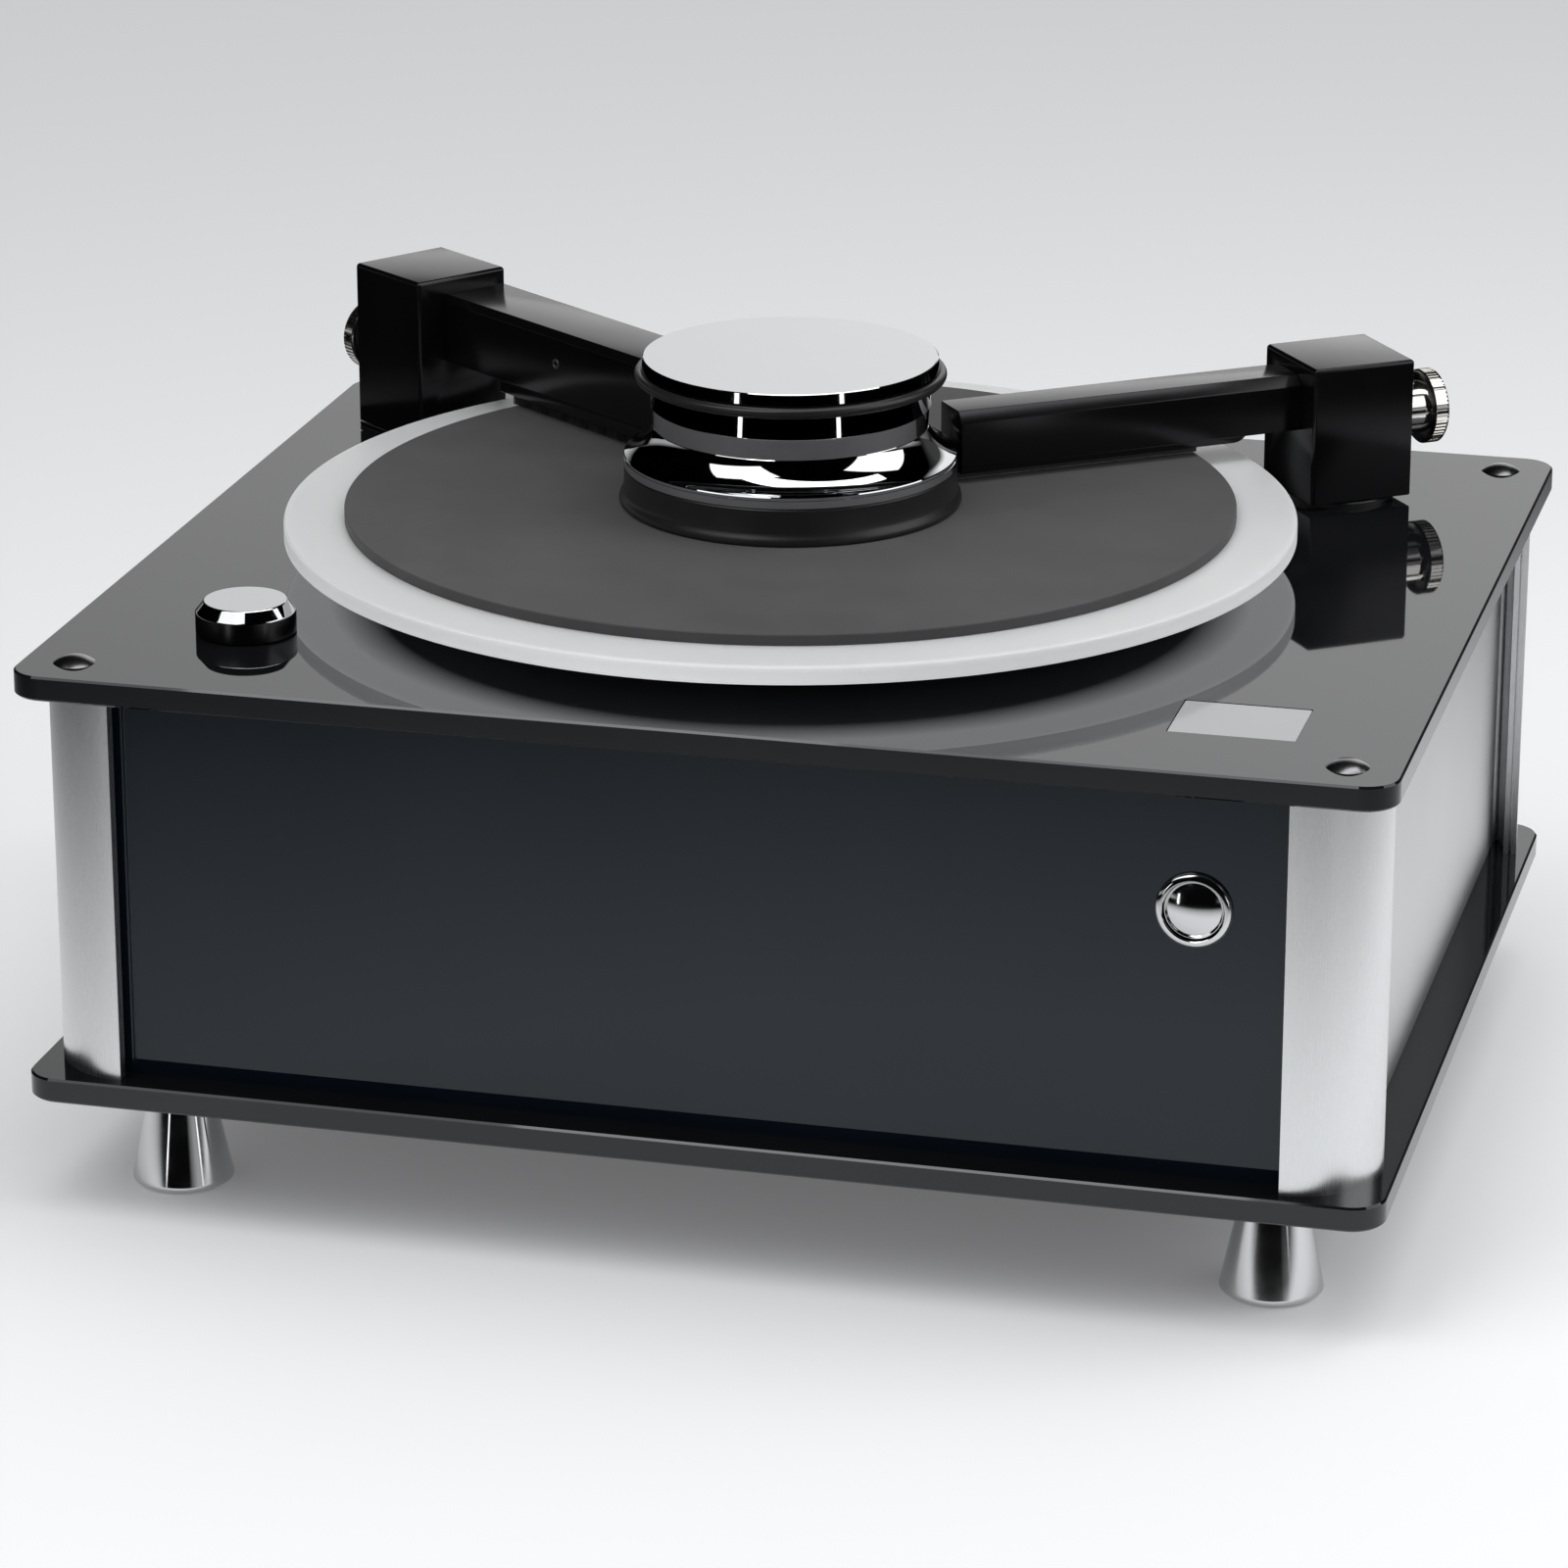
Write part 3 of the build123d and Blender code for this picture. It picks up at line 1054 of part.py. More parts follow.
save(brush_bar, "brush_bar")

with BuildPart() as brush_holder:
    with BuildSketch(arm_section(BRUSH_X, BRUSH_HEADING, HOLDER_START)):
        with BuildLine():
            Polyline(
                (-BRUSH_BAR_FRONT, BRUSH_BAR_FOOT),
                (-BRUSH_BAR_FRONT, HOLDER_FOOT),
                (HOLDER_BACK, HOLDER_FOOT),
                (HOLDER_BACK + (BRUSH_BAR_FOOT - HOLDER_FOOT) / 2, BRUSH_BAR_FOOT),
                close=True,
            )
        make_face()
    extrude(amount=ARM_TIP - HOLDER_START)
save(brush_holder, "brush_holder")

with BuildPart() as brush_bristles:
    with BuildSketch(arm_level(BRUSH_X, BRUSH_HEADING, HOLDER_FOOT)):
        with Locations(((HOLDER_START + ARM_TIP) / 2, (HOLDER_BACK - BRUSH_BAR_FRONT) / 2)):
            with GridLocations(BRISTLE_SPACING, 0, BRISTLE_BLOCKS, 1):
                Rectangle(BRISTLE_LENGTH, BRISTLE_WIDTH)
    extrude(amount=BRISTLE_FOOT - HOLDER_FOOT)
save(brush_bristles, "brush_bristles")

# ---------------------------------------------------------------- thumbscrews
KNURL_PITCH = 2 * pi * THUMBSCREW_HEAD_RADIUS / KNURL_COUNT
for name, arm_x, heading in (
    ("suction_thumbscrew", SUCTION_X, SUCTION_HEADING),
    ("brush_thumbscrew", BRUSH_X, BRUSH_HEADING),
):
    with BuildPart() as thumbscrew:
        with BuildSketch(arm_side(arm_x, heading)):
            tower_face = -TOWER_SIZE / 2 - FIT_GAP
            head_face = tower_face - THUMBSCREW_COLLAR
            outer_face = head_face - THUMBSCREW_HEAD
            with BuildLine():
                Polyline(
                    (tower_face + THUMBSCREW_SHANK, THUMBSCREW_HEIGHT),
                    (tower_face + THUMBSCREW_SHANK, THUMBSCREW_HEIGHT + THUMBSCREW_SHANK_RADIUS),
                    (tower_face, THUMBSCREW_HEIGHT + THUMBSCREW_SHANK_RADIUS),
                    (tower_face, THUMBSCREW_HEIGHT + THUMBSCREW_COLLAR_RADIUS),
                    (head_face, THUMBSCREW_HEIGHT + THUMBSCREW_COLLAR_RADIUS),
                    (head_face, THUMBSCREW_HEIGHT + THUMBSCREW_HEAD_RADIUS),
                    (outer_face + THUMBSCREW_EDGE, THUMBSCREW_HEIGHT + THUMBSCREW_HEAD_RADIUS),
                    (outer_face, THUMBSCREW_HEIGHT + THUMBSCREW_HEAD_RADIUS - THUMBSCREW_EDGE),
                    (outer_face, THUMBSCREW_HEIGHT),
                    close=True,
                )
            make_face()
        screw_axis = Axis(
            Vector(arm_x, ARMS_Y, DECK_Z + THUMBSCREW_HEIGHT),
            heading_vector(heading),
        )
        revolve(axis=screw_axis)
        with BuildSketch(arm_section(arm_x, heading, outer_face)):
            with Locations((0, THUMBSCREW_HEIGHT)):
                with PolarLocations(THUMBSCREW_HEAD_RADIUS, KNURL_COUNT):
                    RegularPolygon(min(KNURL_RADIUS, KNURL_PITCH / 3), 3, rotation=180)
        extrude(amount=THUMBSCREW_HEAD, mode=Mode.SUBTRACT)
    save(thumbscrew, name)

# ---------------------------------------------------------------- controls on the deck
with BuildPart() as control_knob:
    knob_foot = DECK_Z + FREE_GAP
    knob_top = knob_foot + KNOB_HEIGHT
    with BuildSketch(upright(KNOB_X, KNOB_Y)):
        with BuildLine():
            Polyline(
                (SELECTOR_SHAFT_RADIUS + FIT_GAP, knob_foot + KNOB_RECESS),
                (KNOB_RECESS_RADIUS, knob_foot + KNOB_RECESS),
                (KNOB_RECESS_RADIUS, knob_foot),
                (KNOB_RADIUS, knob_foot),
                (KNOB_RADIUS, knob_top - KNOB_EDGE_HEIGHT),
                (KNOB_TOP_RADIUS, knob_top),
                (0, knob_top),
                (0, DECK_Z + SELECTOR_SHAFT_GRIP),
                (SELECTOR_SHAFT_RADIUS + FIT_GAP, DECK_Z + SELECTOR_SHAFT_GRIP),
                close=True,
            )
        make_face()
    revolve(axis=upright_axis(KNOB_X, KNOB_Y))
save(control_knob, "control_knob")

with BuildPart() as selector_shaft:
    with BuildSketch(Plane.XY.offset(CEILING_Z - SELECTOR_SHAFT_DEPTH)):
        with Locations((KNOB_X, KNOB_Y)):
            Circle(SELECTOR_SHAFT_RADIUS)
    extrude(amount=SELECTOR_SHAFT_DEPTH + PLATE_THICKNESS + SELECTOR_SHAFT_GRIP)
save(selector_shaft, "selector_shaft")

with BuildPart() as selector_switch:
    with BuildSketch(Plane.XY.offset(CEILING_Z)):
        with Locations((KNOB_X, KNOB_Y)):
            Circle(SELECTOR_RADIUS)
    extrude(amount=-SELECTOR_HEIGHT)
    with BuildSketch(Plane.XY.offset(CEILING_Z)):
        with Locations((KNOB_X, KNOB_Y)):
            Circle(SELECTOR_NECK_RADIUS)
    extrude(amount=PLATE_THICKNESS + SELECTOR_NECK)
    with BuildSketch(Plane.XY.offset(DECK_Z + SELECTOR_NECK)):
        with Locations((KNOB_X, KNOB_Y)):
            Circle(SELECTOR_SHAFT_RADIUS + FIT_GAP)
    shaft_well = SELECTOR_NECK + PLATE_THICKNESS + SELECTOR_SHAFT_DEPTH + FREE_GAP
    extrude(amount=-shaft_well, mode=Mode.SUBTRACT)
save(selector_switch, "selector_switch")

# ---------------------------------------------------------------- power switch on the front
switch_axis = Axis((SWITCH_X, 0, SWITCH_Z), (0, 1, 0))
switch_section = Plane(origin=(SWITCH_X, 0, SWITCH_Z), x_dir=(1, 0, 0), z_dir=(0, 0, 1))
bezel_face = -FRONT_FACE - BEZEL_PROUD
button_face = bezel_face - BUTTON_PROUD
button_back = button_face + BUTTON_LENGTH

with BuildPart() as power_switch:
    with BuildSketch(switch_section):
        with BuildLine():
            bore = BUTTON_RADIUS + FREE_GAP
            well = button_back + BUTTON_TRAVEL + FREE_GAP
            barrel_end = -FRONT_FACE + BARREL_LENGTH
            can_end = barrel_end + SWITCH_CAN_LENGTH
            Polyline(
                (0, well),
                (bore, well),
                (bore, bezel_face),
                (BEZEL_RADIUS - BEZEL_EDGE, bezel_face),
                (BEZEL_RADIUS, bezel_face + BEZEL_EDGE),
                (BEZEL_RADIUS, -FRONT_FACE),
                (BARREL_RADIUS, -FRONT_FACE),
                (BARREL_RADIUS, barrel_end),
                (SWITCH_CAN_RADIUS, barrel_end),
                (SWITCH_CAN_RADIUS, can_end),
                (0, can_end),
                close=True,
            )
        make_face()
    revolve(axis=switch_axis)
save(power_switch, "power_switch")

with BuildPart() as power_button:
    with BuildSketch(switch_section):
        with BuildLine():
            crown = (BUTTON_RADIUS**2 + BUTTON_DOME**2) / (2 * BUTTON_DOME)
            Polyline(
                (0, button_face),
                (0, button_back),
                (BUTTON_RADIUS, button_back),
                (BUTTON_RADIUS, button_face + BUTTON_DOME),
            )
            RadiusArc((BUTTON_RADIUS, button_face + BUTTON_DOME), (0, button_face), crown)
        make_face()
    revolve(axis=switch_axis)
save(power_button, "power_button")

with BuildPart() as panel_nuts:
    with BuildSketch(Plane(origin=(SWITCH_X, -FRONT_BACK, SWITCH_Z), x_dir=(1, 0, 0), z_dir=(0, 1, 0))):
        RegularPolygon(SWITCH_NUT_RADIUS, 6)
        Circle(BARREL_RADIUS + FIT_GAP, mode=Mode.SUBTRACT)
    extrude(amount=SWITCH_NUT)
    with BuildSketch(Plane.XY.offset(DECK_Z)):
        with Locations((KNOB_X, KNOB_Y)):
            RegularPolygon(SELECTOR_NUT_RADIUS, 6)
            Circle(SELECTOR_NECK_RADIUS + FIT_GAP, mode=Mode.SUBTRACT)
    extrude(amount=SELECTOR_NUT)
save(panel_nuts, "panel_nuts")

# ---------------------------------------------------------------- inside: suction side
with BuildPart() as suction_turbine:
    with BuildSketch(upright(TURBINE_X, TURBINE_Y)):
        with BuildLine():
            fan_foot = FLOOR_Z + TURBINE_MOTOR_HEIGHT
            neck_bore = TURBINE_NECK_RADIUS - TANK_WALL
            Polyline(
                (0, FLOOR_Z),
                (TURBINE_MOTOR_RADIUS, FLOOR_Z),
                (TURBINE_MOTOR_RADIUS, fan_foot),
                (TURBINE_FAN_RADIUS, fan_foot),
                (TURBINE_FAN_RADIUS, TURBINE_TOP - TANK_WALL),
                (TURBINE_FAN_RADIUS - TANK_WALL, TURBINE_TOP),
                (TURBINE_NECK_RADIUS, TURBINE_TOP),
                (TURBINE_NECK_RADIUS, TURBINE_TOP + TURBINE_NECK),
                (neck_bore, TURBINE_TOP + TURBINE_NECK),
                (neck_bore, TURBINE_TOP),
                (0, TURBINE_TOP),
                close=True,
            )
        make_face()
    revolve(axis=upright_axis(TURBINE_X, TURBINE_Y))
    with BuildSketch(Plane.XY.offset(FLOOR_Z + TANK_WALL)):
        with Locations((TURBINE_X, TURBINE_Y)):
            with PolarLocations(TURBINE_MOTOR_RADIUS, TURBINE_RIBS):
                Rectangle(2 * TANK_WALL, 2 * TANK_WALL)
    extrude(amount=TURBINE_MOTOR_HEIGHT - 2 * TANK_WALL, mode=Mode.SUBTRACT)
save(suction_turbine, "suction_turbine")

AIR_OUT_Y = WASTE_Y - WASTE_DEPTH / 2 + TANK_NECK_RADIUS + TANK_WALL
with BuildPart() as waste_tank:
    with BuildSketch(Plane.XY.offset(FLOOR_Z)):
        with Locations((WASTE_X, WASTE_Y)):
            RectangleRounded(WASTE_LENGTH, WASTE_DEPTH, WASTE_CORNER)
    extrude(amount=WASTE_HEIGHT)
    with BuildSketch(Plane.XY.offset(WASTE_TOP)):
        with Locations((SUCTION_X, ARMS_Y), (TURBINE_X, AIR_OUT_Y)):
            Circle(TANK_NECK_RADIUS)
    extrude(amount=TANK_NECK)
    with BuildSketch(Plane.XY.offset(FLOOR_Z + TANK_WALL)):
        with Locations((WASTE_X, WASTE_Y)):
            inner_length = WASTE_LENGTH - 2 * TANK_WALL
            inner_depth = WASTE_DEPTH - 2 * TANK_WALL
            RectangleRounded(inner_length, inner_depth, WASTE_CORNER - TANK_WALL)
    extrude(amount=WASTE_HEIGHT - 2 * TANK_WALL, mode=Mode.SUBTRACT)
    with BuildSketch(Plane.XY.offset(WASTE_TOP + TANK_NECK)):
        with Locations((SUCTION_X, ARMS_Y), (TURBINE_X, AIR_OUT_Y)):
            Circle(TANK_NECK_RADIUS - TANK_WALL)
    extrude(amount=-(TANK_NECK + TANK_WALL), mode=Mode.SUBTRACT)
save(waste_tank, "waste_tank")

# The suction hose is a straight sleeve over the arm's bush and over the tank's neck below it.
with BuildPart() as suction_hose:
    with BuildSketch(Plane.XY.offset(WASTE_TOP)):
        with Locations((SUCTION_X, ARMS_Y)):
            Circle(SLEEVE_BORE + SLEEVE_WALL)
            Circle(SLEEVE_BORE, mode=Mode.SUBTRACT)
    extrude(amount=DECK_Z - ARM_BUSH_LENGTH + SLEEVE_GRIP - WASTE_TOP)
save(suction_hose, "suction_hose")

with BuildPart() as turbine_hose:
    tank_port = Vector(TURBINE_X, AIR_OUT_Y, WASTE_TOP + TANK_NECK)
    turbine_port = Vector(TURBINE_X, TURBINE_Y, TURBINE_TOP + TURBINE_NECK)
    with BuildLine() as air_route:
        FilletPolyline(
            tank_port,
            (TURBINE_X, AIR_OUT_Y, AIR_HOSE_TOP),
            (TURBINE_X, TURBINE_Y, AIR_HOSE_TOP),
            turbine_port,
            radius=AIR_HOSE_BEND,
        )
    with BuildSketch(Plane(origin=tank_port, z_dir=(0, 0, 1))):
        Circle(AIR_HOSE_RADIUS)
        Circle(AIR_HOSE_BORE, mode=Mode.SUBTRACT)
    sweep(path=air_route.line)
save(turbine_hose, "turbine_hose")

# ---------------------------------------------------------------- inside: fluid side
with BuildPart() as supply_tank:
    with BuildSketch(Plane.XY.offset(FLOOR_Z)):
        with Locations((SUPPLY_X, SUPPLY_Y)):
            RectangleRounded(SUPPLY_LENGTH, SUPPLY_DEPTH, WASTE_CORNER)
    extrude(amount=SUPPLY_HEIGHT)
    with BuildSketch(Plane.XY.offset(FLOOR_Z + TANK_WALL)):
        with Locations((SUPPLY_X, SUPPLY_Y)):
            inner_length = SUPPLY_LENGTH - 2 * TANK_WALL
            inner_depth = SUPPLY_DEPTH - 2 * TANK_WALL
            RectangleRounded(inner_length, inner_depth, WASTE_CORNER - TANK_WALL)
    extrude(amount=SUPPLY_HEIGHT - 2 * TANK_WALL, mode=Mode.SUBTRACT)
    with BuildSketch(Plane.XY.offset(SUPPLY_TOP)):
        with Locations((SUPPLY_X, SUPPLY_Y - SUPPLY_CAP_RADIUS)):
            Circle(SUPPLY_CAP_RADIUS)
            Circle(SUPPLY_CAP_RADIUS - TANK_WALL, mode=Mode.SUBTRACT)
    extrude(amount=SUPPLY_CAP_HEIGHT)
    with BuildSketch(Plane.XY.offset(SUPPLY_TOP - TANK_WALL)):
        with Locations((SUPPLY_X, SUPPLY_Y - SUPPLY_CAP_RADIUS)):
            Circle(SUPPLY_CAP_RADIUS - TANK_WALL)
    extrude(amount=TANK_WALL, mode=Mode.SUBTRACT)
save(supply_tank, "supply_tank")

with BuildPart() as fluid_pump:
    with BuildSketch(Plane.XY.offset(FLOOR_Z)):
        with Locations((PUMP_X, PUMP_Y)):
            RectangleRounded(PUMP_LENGTH, PUMP_DEPTH, TANK_WALL)
    extrude(amount=PUMP_HEIGHT)
    with BuildSketch(Plane.XY.offset(FLOOR_Z + PUMP_HEIGHT)):
        with Locations((PUMP_X, PUMP_Y)):
            Circle(PUMP_HEAD_RADIUS)
    extrude(amount=PUMP_HEAD_HEIGHT)
    with BuildSketch(Plane.XY.offset(FLOOR_Z + PUMP_HEIGHT + PUMP_HEAD_HEIGHT)):
        with Locations((PUMP_X, PUMP_Y)):
            Circle(FLUID_HOSE_BORE)
    extrude(amount=PUMP_NECK)
    supply_side = SUPPLY_X + SUPPLY_LENGTH / 2
    suction_reach = PUMP_X - PUMP_LENGTH / 2 - supply_side
    inlet_port = Plane(
        origin=(supply_side, PUMP_Y, FLOOR_Z + PUMP_HEIGHT / 2),
        x_dir=(0, 1, 0),
        z_dir=(1, 0, 0),
    )
    with BuildSketch(inlet_port):
        Circle(FLUID_HOSE_RADIUS)
    extrude(amount=suction_reach)
save(fluid_pump, "fluid_pump")

with BuildPart() as dosing_hose:
    pump_port = Vector(PUMP_X, PUMP_Y, FLOOR_Z + PUMP_HEIGHT + PUMP_HEAD_HEIGHT)
    arm_port = Vector(BRUSH_X, ARMS_Y, PIVOT_FOOT + FLUID_HOSE_GRIP)
    run_height = PIVOT_FOOT - FLUID_HOSE_DROP
    with BuildLine() as fluid_route:
        FilletPolyline(
            pump_port,
            (PUMP_X, PUMP_Y, run_height),
            (BRUSH_X, ARMS_Y, run_height),
            arm_port,
            radius=FLUID_HOSE_BEND,
        )
    with BuildSketch(Plane(origin=pump_port, z_dir=(0, 0, 1))):
        Circle(FLUID_HOSE_RADIUS)
        Circle(FLUID_HOSE_BORE + FIT_GAP, mode=Mode.SUBTRACT)
    sweep(path=fluid_route.line)
save(dosing_hose, "dosing_hose")

# ---------------------------------------------------------------- inside: electrical
with BuildPart() as power_supply:
    with BuildSketch(Plane.XY.offset(FLOOR_Z)):
        with Locations((SUPPLY_UNIT_X, SUPPLY_UNIT_Y)):
            Rectangle(SUPPLY_UNIT_LENGTH, SUPPLY_UNIT_DEPTH)
    extrude(amount=SUPPLY_UNIT_HEIGHT)
    slot_pitch = SUPPLY_UNIT_LENGTH / (SUPPLY_UNIT_SLOTS + 1)
    with BuildSketch(Plane.XY.offset(FLOOR_Z + SUPPLY_UNIT_HEIGHT)):
        with Locations((SUPPLY_UNIT_X, SUPPLY_UNIT_Y)):
            with GridLocations(slot_pitch, 0, SUPPLY_UNIT_SLOTS, 1):
                SlotOverall(SUPPLY_UNIT_DEPTH * 2 / 3, slot_pitch / 3, rotation=90)
    extrude(amount=-TANK_WALL, mode=Mode.SUBTRACT)
save(power_supply, "power_supply")

with BuildPart() as control_board:
    board_z = FLOOR_Z + BOARD_STANDOFF
    with BuildSketch(Plane.XY.offset(board_z)):
        with Locations((BOARD_X, BOARD_Y)):
            Rectangle(BOARD_LENGTH, BOARD_DEPTH)
    extrude(amount=BOARD_THICKNESS)
    with BuildSketch(Plane.XY.offset(FLOOR_Z)):
        with Locations((BOARD_X, BOARD_Y)):
            inset = 2 * BOARD_STANDOFF_INSET
            with GridLocations(BOARD_LENGTH - inset, BOARD_DEPTH - inset, 2, 2):
                Circle(BOARD_STANDOFF_RADIUS)
    extrude(amount=BOARD_STANDOFF)
    with BuildSketch(Plane.XY.offset(board_z + BOARD_THICKNESS)):
        with Locations((BOARD_X, BOARD_Y - BOARD_DEPTH / 4)):
            with GridLocations(BOARD_LENGTH / 4, 0, 3, 1):
                Rectangle(BOARD_LENGTH / 6, BOARD_DEPTH / 4)
    extrude(amount=BOARD_TALL_PARTS)
    with BuildSketch(Plane.XY.offset(board_z + BOARD_THICKNESS)):
        with Locations((BOARD_X, BOARD_Y + BOARD_DEPTH / 4)):
            with GridLocations(BOARD_LENGTH / 5, 0, 4, 1):
                Circle(BOARD_LENGTH / 16)
    extrude(amount=BOARD_LOW_PARTS)
save(control_board, "control_board")

# ---------------------------------------------------------------- rear connections
rear_face = Plane(origin=(INLET_X, FRONT_FACE, INLET_Z), x_dir=(-1, 0, 0), z_dir=(0, 1, 0))
with BuildPart() as mains_inlet:
    with BuildSketch(rear_face):
        RectangleRounded(INLET_FLANGE_LENGTH, INLET_FLANGE_TALL, INLET_FLANGE)
    extrude(amount=INLET_FLANGE)
    with BuildSketch(rear_face):
        Rectangle(INLET_LENGTH, INLET_TALL)
    extrude(amount=-INLET_DEPTH)
    recess_mouth = rear_face.offset(INLET_FLANGE)
    with BuildSketch(recess_mouth):
        Rectangle(INLET_LENGTH - 2 * INLET_WALL, INLET_TALL - 2 * INLET_WALL)
    extrude(amount=-INLET_RECESS, mode=Mode.SUBTRACT)
    with BuildSketch(recess_mouth.offset(-INLET_RECESS)):
        with Locations((0, INLET_PIN_HEIGHT / 2)):
            Rectangle(INLET_PIN_WIDTH, INLET_PIN_HEIGHT)
        with Locations((-INLET_PIN_SPACING, -INLET_PIN_HEIGHT), (INLET_PIN_SPACING, -INLET_PIN_HEIGHT)):
            Rectangle(INLET_PIN_WIDTH, INLET_PIN_HEIGHT)
    extrude(amount=INLET_PIN_LENGTH)
save(mains_inlet, "mains_inlet")

with BuildPart() as drain_spigot:
    drain_plane = Plane(origin=(DRAIN_X, FRONT_FACE, DRAIN_Z), x_dir=(-1, 0, 0), z_dir=(0, 1, 0))
    waste_back = WASTE_Y + WASTE_DEPTH / 2
    with BuildSketch(drain_plane):
        Circle(DRAIN_COLLAR_RADIUS)
    extrude(amount=DRAIN_COLLAR)
    with BuildSketch(drain_plane):
        Circle(DRAIN_BARB_RADIUS)
    extrude(amount=DRAIN_BARB_LENGTH)
    with BuildSketch(drain_plane):
        Circle(DRAIN_BARB_RADIUS)
    extrude(amount=waste_back - FRONT_FACE)
    with BuildSketch(drain_plane.offset(DRAIN_BARB_LENGTH)):
        Circle(DRAIN_BORE)
    extrude(amount=waste_back - FRONT_FACE - DRAIN_BARB_LENGTH, mode=Mode.SUBTRACT)
save(drain_spigot, "drain_spigot")
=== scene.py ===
"""Record cleaning machine: finishes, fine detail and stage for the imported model.

The frame gives every node in metres. Each operator below makes one group of pieces,
and main() runs them in order.
"""

from math import cos, pi, radians, sin

import bmesh
import bpy
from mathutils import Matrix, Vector


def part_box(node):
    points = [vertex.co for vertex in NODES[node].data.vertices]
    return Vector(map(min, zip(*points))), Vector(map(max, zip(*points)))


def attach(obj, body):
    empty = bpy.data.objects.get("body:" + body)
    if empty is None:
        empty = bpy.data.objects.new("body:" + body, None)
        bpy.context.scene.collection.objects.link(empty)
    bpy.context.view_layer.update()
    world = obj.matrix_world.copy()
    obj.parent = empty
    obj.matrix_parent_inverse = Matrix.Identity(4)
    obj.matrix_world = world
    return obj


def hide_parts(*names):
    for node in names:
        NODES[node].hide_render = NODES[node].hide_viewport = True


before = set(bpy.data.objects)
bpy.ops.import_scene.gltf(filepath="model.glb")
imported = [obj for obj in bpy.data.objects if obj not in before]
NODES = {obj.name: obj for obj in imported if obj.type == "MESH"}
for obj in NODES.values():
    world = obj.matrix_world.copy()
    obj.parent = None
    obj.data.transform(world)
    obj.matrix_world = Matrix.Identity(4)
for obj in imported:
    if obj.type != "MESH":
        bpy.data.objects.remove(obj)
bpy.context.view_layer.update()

bl_info = {
    "name": "Record cleaning machine",
    "version": (1, 0, 0),
    "blender": (4, 5, 0),
    "location": "3D View > Sidebar > Record cleaner",
    "description": "Dresses the record cleaning machine and sets its stage",
    "category": "Object",
}

MM = 0.001


# ---------------------------------------------------------------- places taken from the frame
def middle(node):
    """The middle of a node's box, in millimetres."""
    low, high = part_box(node)
    return (low + high) / 2 / MM


def foot_and_top(node):
    """The lowest and highest point of a node, in millimetres."""
    low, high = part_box(node)
    return low.z / MM, high.z / MM


DECK = foot_and_top("top_plate")[1]
PLATTER_AXIS = middle("platter")
SUCTION_AXIS = middle("suction_pivot")
BRUSH_AXIS = middle("brush_pivot")
KNOB_AXIS = middle("control_knob")
SWITCH_AXIS = middle("power_button")

# Sizes in millimetres, places on an arm as arm_place takes them, and the arms' directions.
PLATTER_RADIUS = 150
MAT_RADIUS = 132
FOOT_RADIUS = 14.5
DECK_SCREW_RADIUS = 6.0
DECK_SCREW_DOME = 2.2
FRONT_FACE = 150.0
SUCTION_HEADING = radians(216.3)
BRUSH_HEADING = radians(-36.3)
TOWER_FACE = 17.05
ARM_TIP = 129.5
SCREW_HEIGHT = 24.5
LIP_START = 50.3
BRISTLE_BLOCKS = 8
BRISTLE_SPACING = 9.6
FIRST_BRISTLES = (54.15, -1.6)
SET_SCREW = (74.7, -7.2, 38)
BUSH_DEPTH = 24
BUTTON_CROWN = 2.8
BUTTON_CURVE = 16.5


# ---------------------------------------------------------------- bench work
def nothing_selected():
    """Leave edit mode and deselect every object."""
    if bpy.context.object and bpy.context.object.mode != "OBJECT":
        bpy.ops.object.mode_set(mode="OBJECT")
    bpy.ops.object.select_all(action="DESELECT")


def pick(piece):
    """Make one object the selected and active one."""
    nothing_selected()
    piece.select_set(True)
    bpy.context.view_layer.objects.active = piece


def choose(kind, test):
    """Select the vertices, edges or faces of the edited mesh that pass a test."""
    bpy.ops.mesh.select_mode(type=kind)
    bpy.ops.mesh.select_all(action="DESELECT")
    mesh = bmesh.from_edit_mesh(bpy.context.object.data)
    for item in {"VERT": mesh.verts, "EDGE": mesh.edges, "FACE": mesh.faces}[kind]:
        if test(item):
            item.select_set(True)
    mesh.select_flush_mode()
    bmesh.update_edit_mesh(bpy.context.object.data)


def edge_way(edge):
    """The direction of an edge."""
    return (edge.verts[1].co - edge.verts[0].co).normalized()


def raised(height, outline):
    """An outline moved up by a height."""
    return [(reach, z + height) for reach, z in outline]


def arc(middle, radius, start, end, steps):
    """Corners of an arc in an outline, from one angle to another in degrees."""
    sweep = [radians(start + (end - start) * i / steps) for i in range(steps + 1)]
    return [(middle[0] + radius * cos(a), middle[1] + radius * sin(a)) for a in sweep]


def from_node(name, node):
    """A copy of a node of the frame with its triangles merged into whole faces."""
    pick(NODES[node])
    bpy.ops.object.duplicate(linked=False)
    piece = bpy.context.object
    piece.name = name
    bpy.ops.object.mode_set(mode="EDIT")
    bpy.ops.mesh.select_all(action="SELECT")
    bpy.ops.mesh.remove_doubles(threshold=0.002 * MM)
    bpy.ops.mesh.customdata_custom_splitnormals_clear()
    bpy.ops.mesh.dissolve_limited(angle_limit=radians(0.3))
    bpy.ops.mesh.normals_make_consistent(inside=False)
    bpy.ops.object.mode_set(mode="OBJECT")
    return piece


def arm_place(axis, heading, along, aside, height):
    """A place on an arm: along it, to its left, and above the deck, in millimetres."""
    x = axis.x + along * cos(heading) - aside * sin(heading)
    y = axis.y + along * sin(heading) + aside * cos(heading)
    return (x, y, DECK + height)


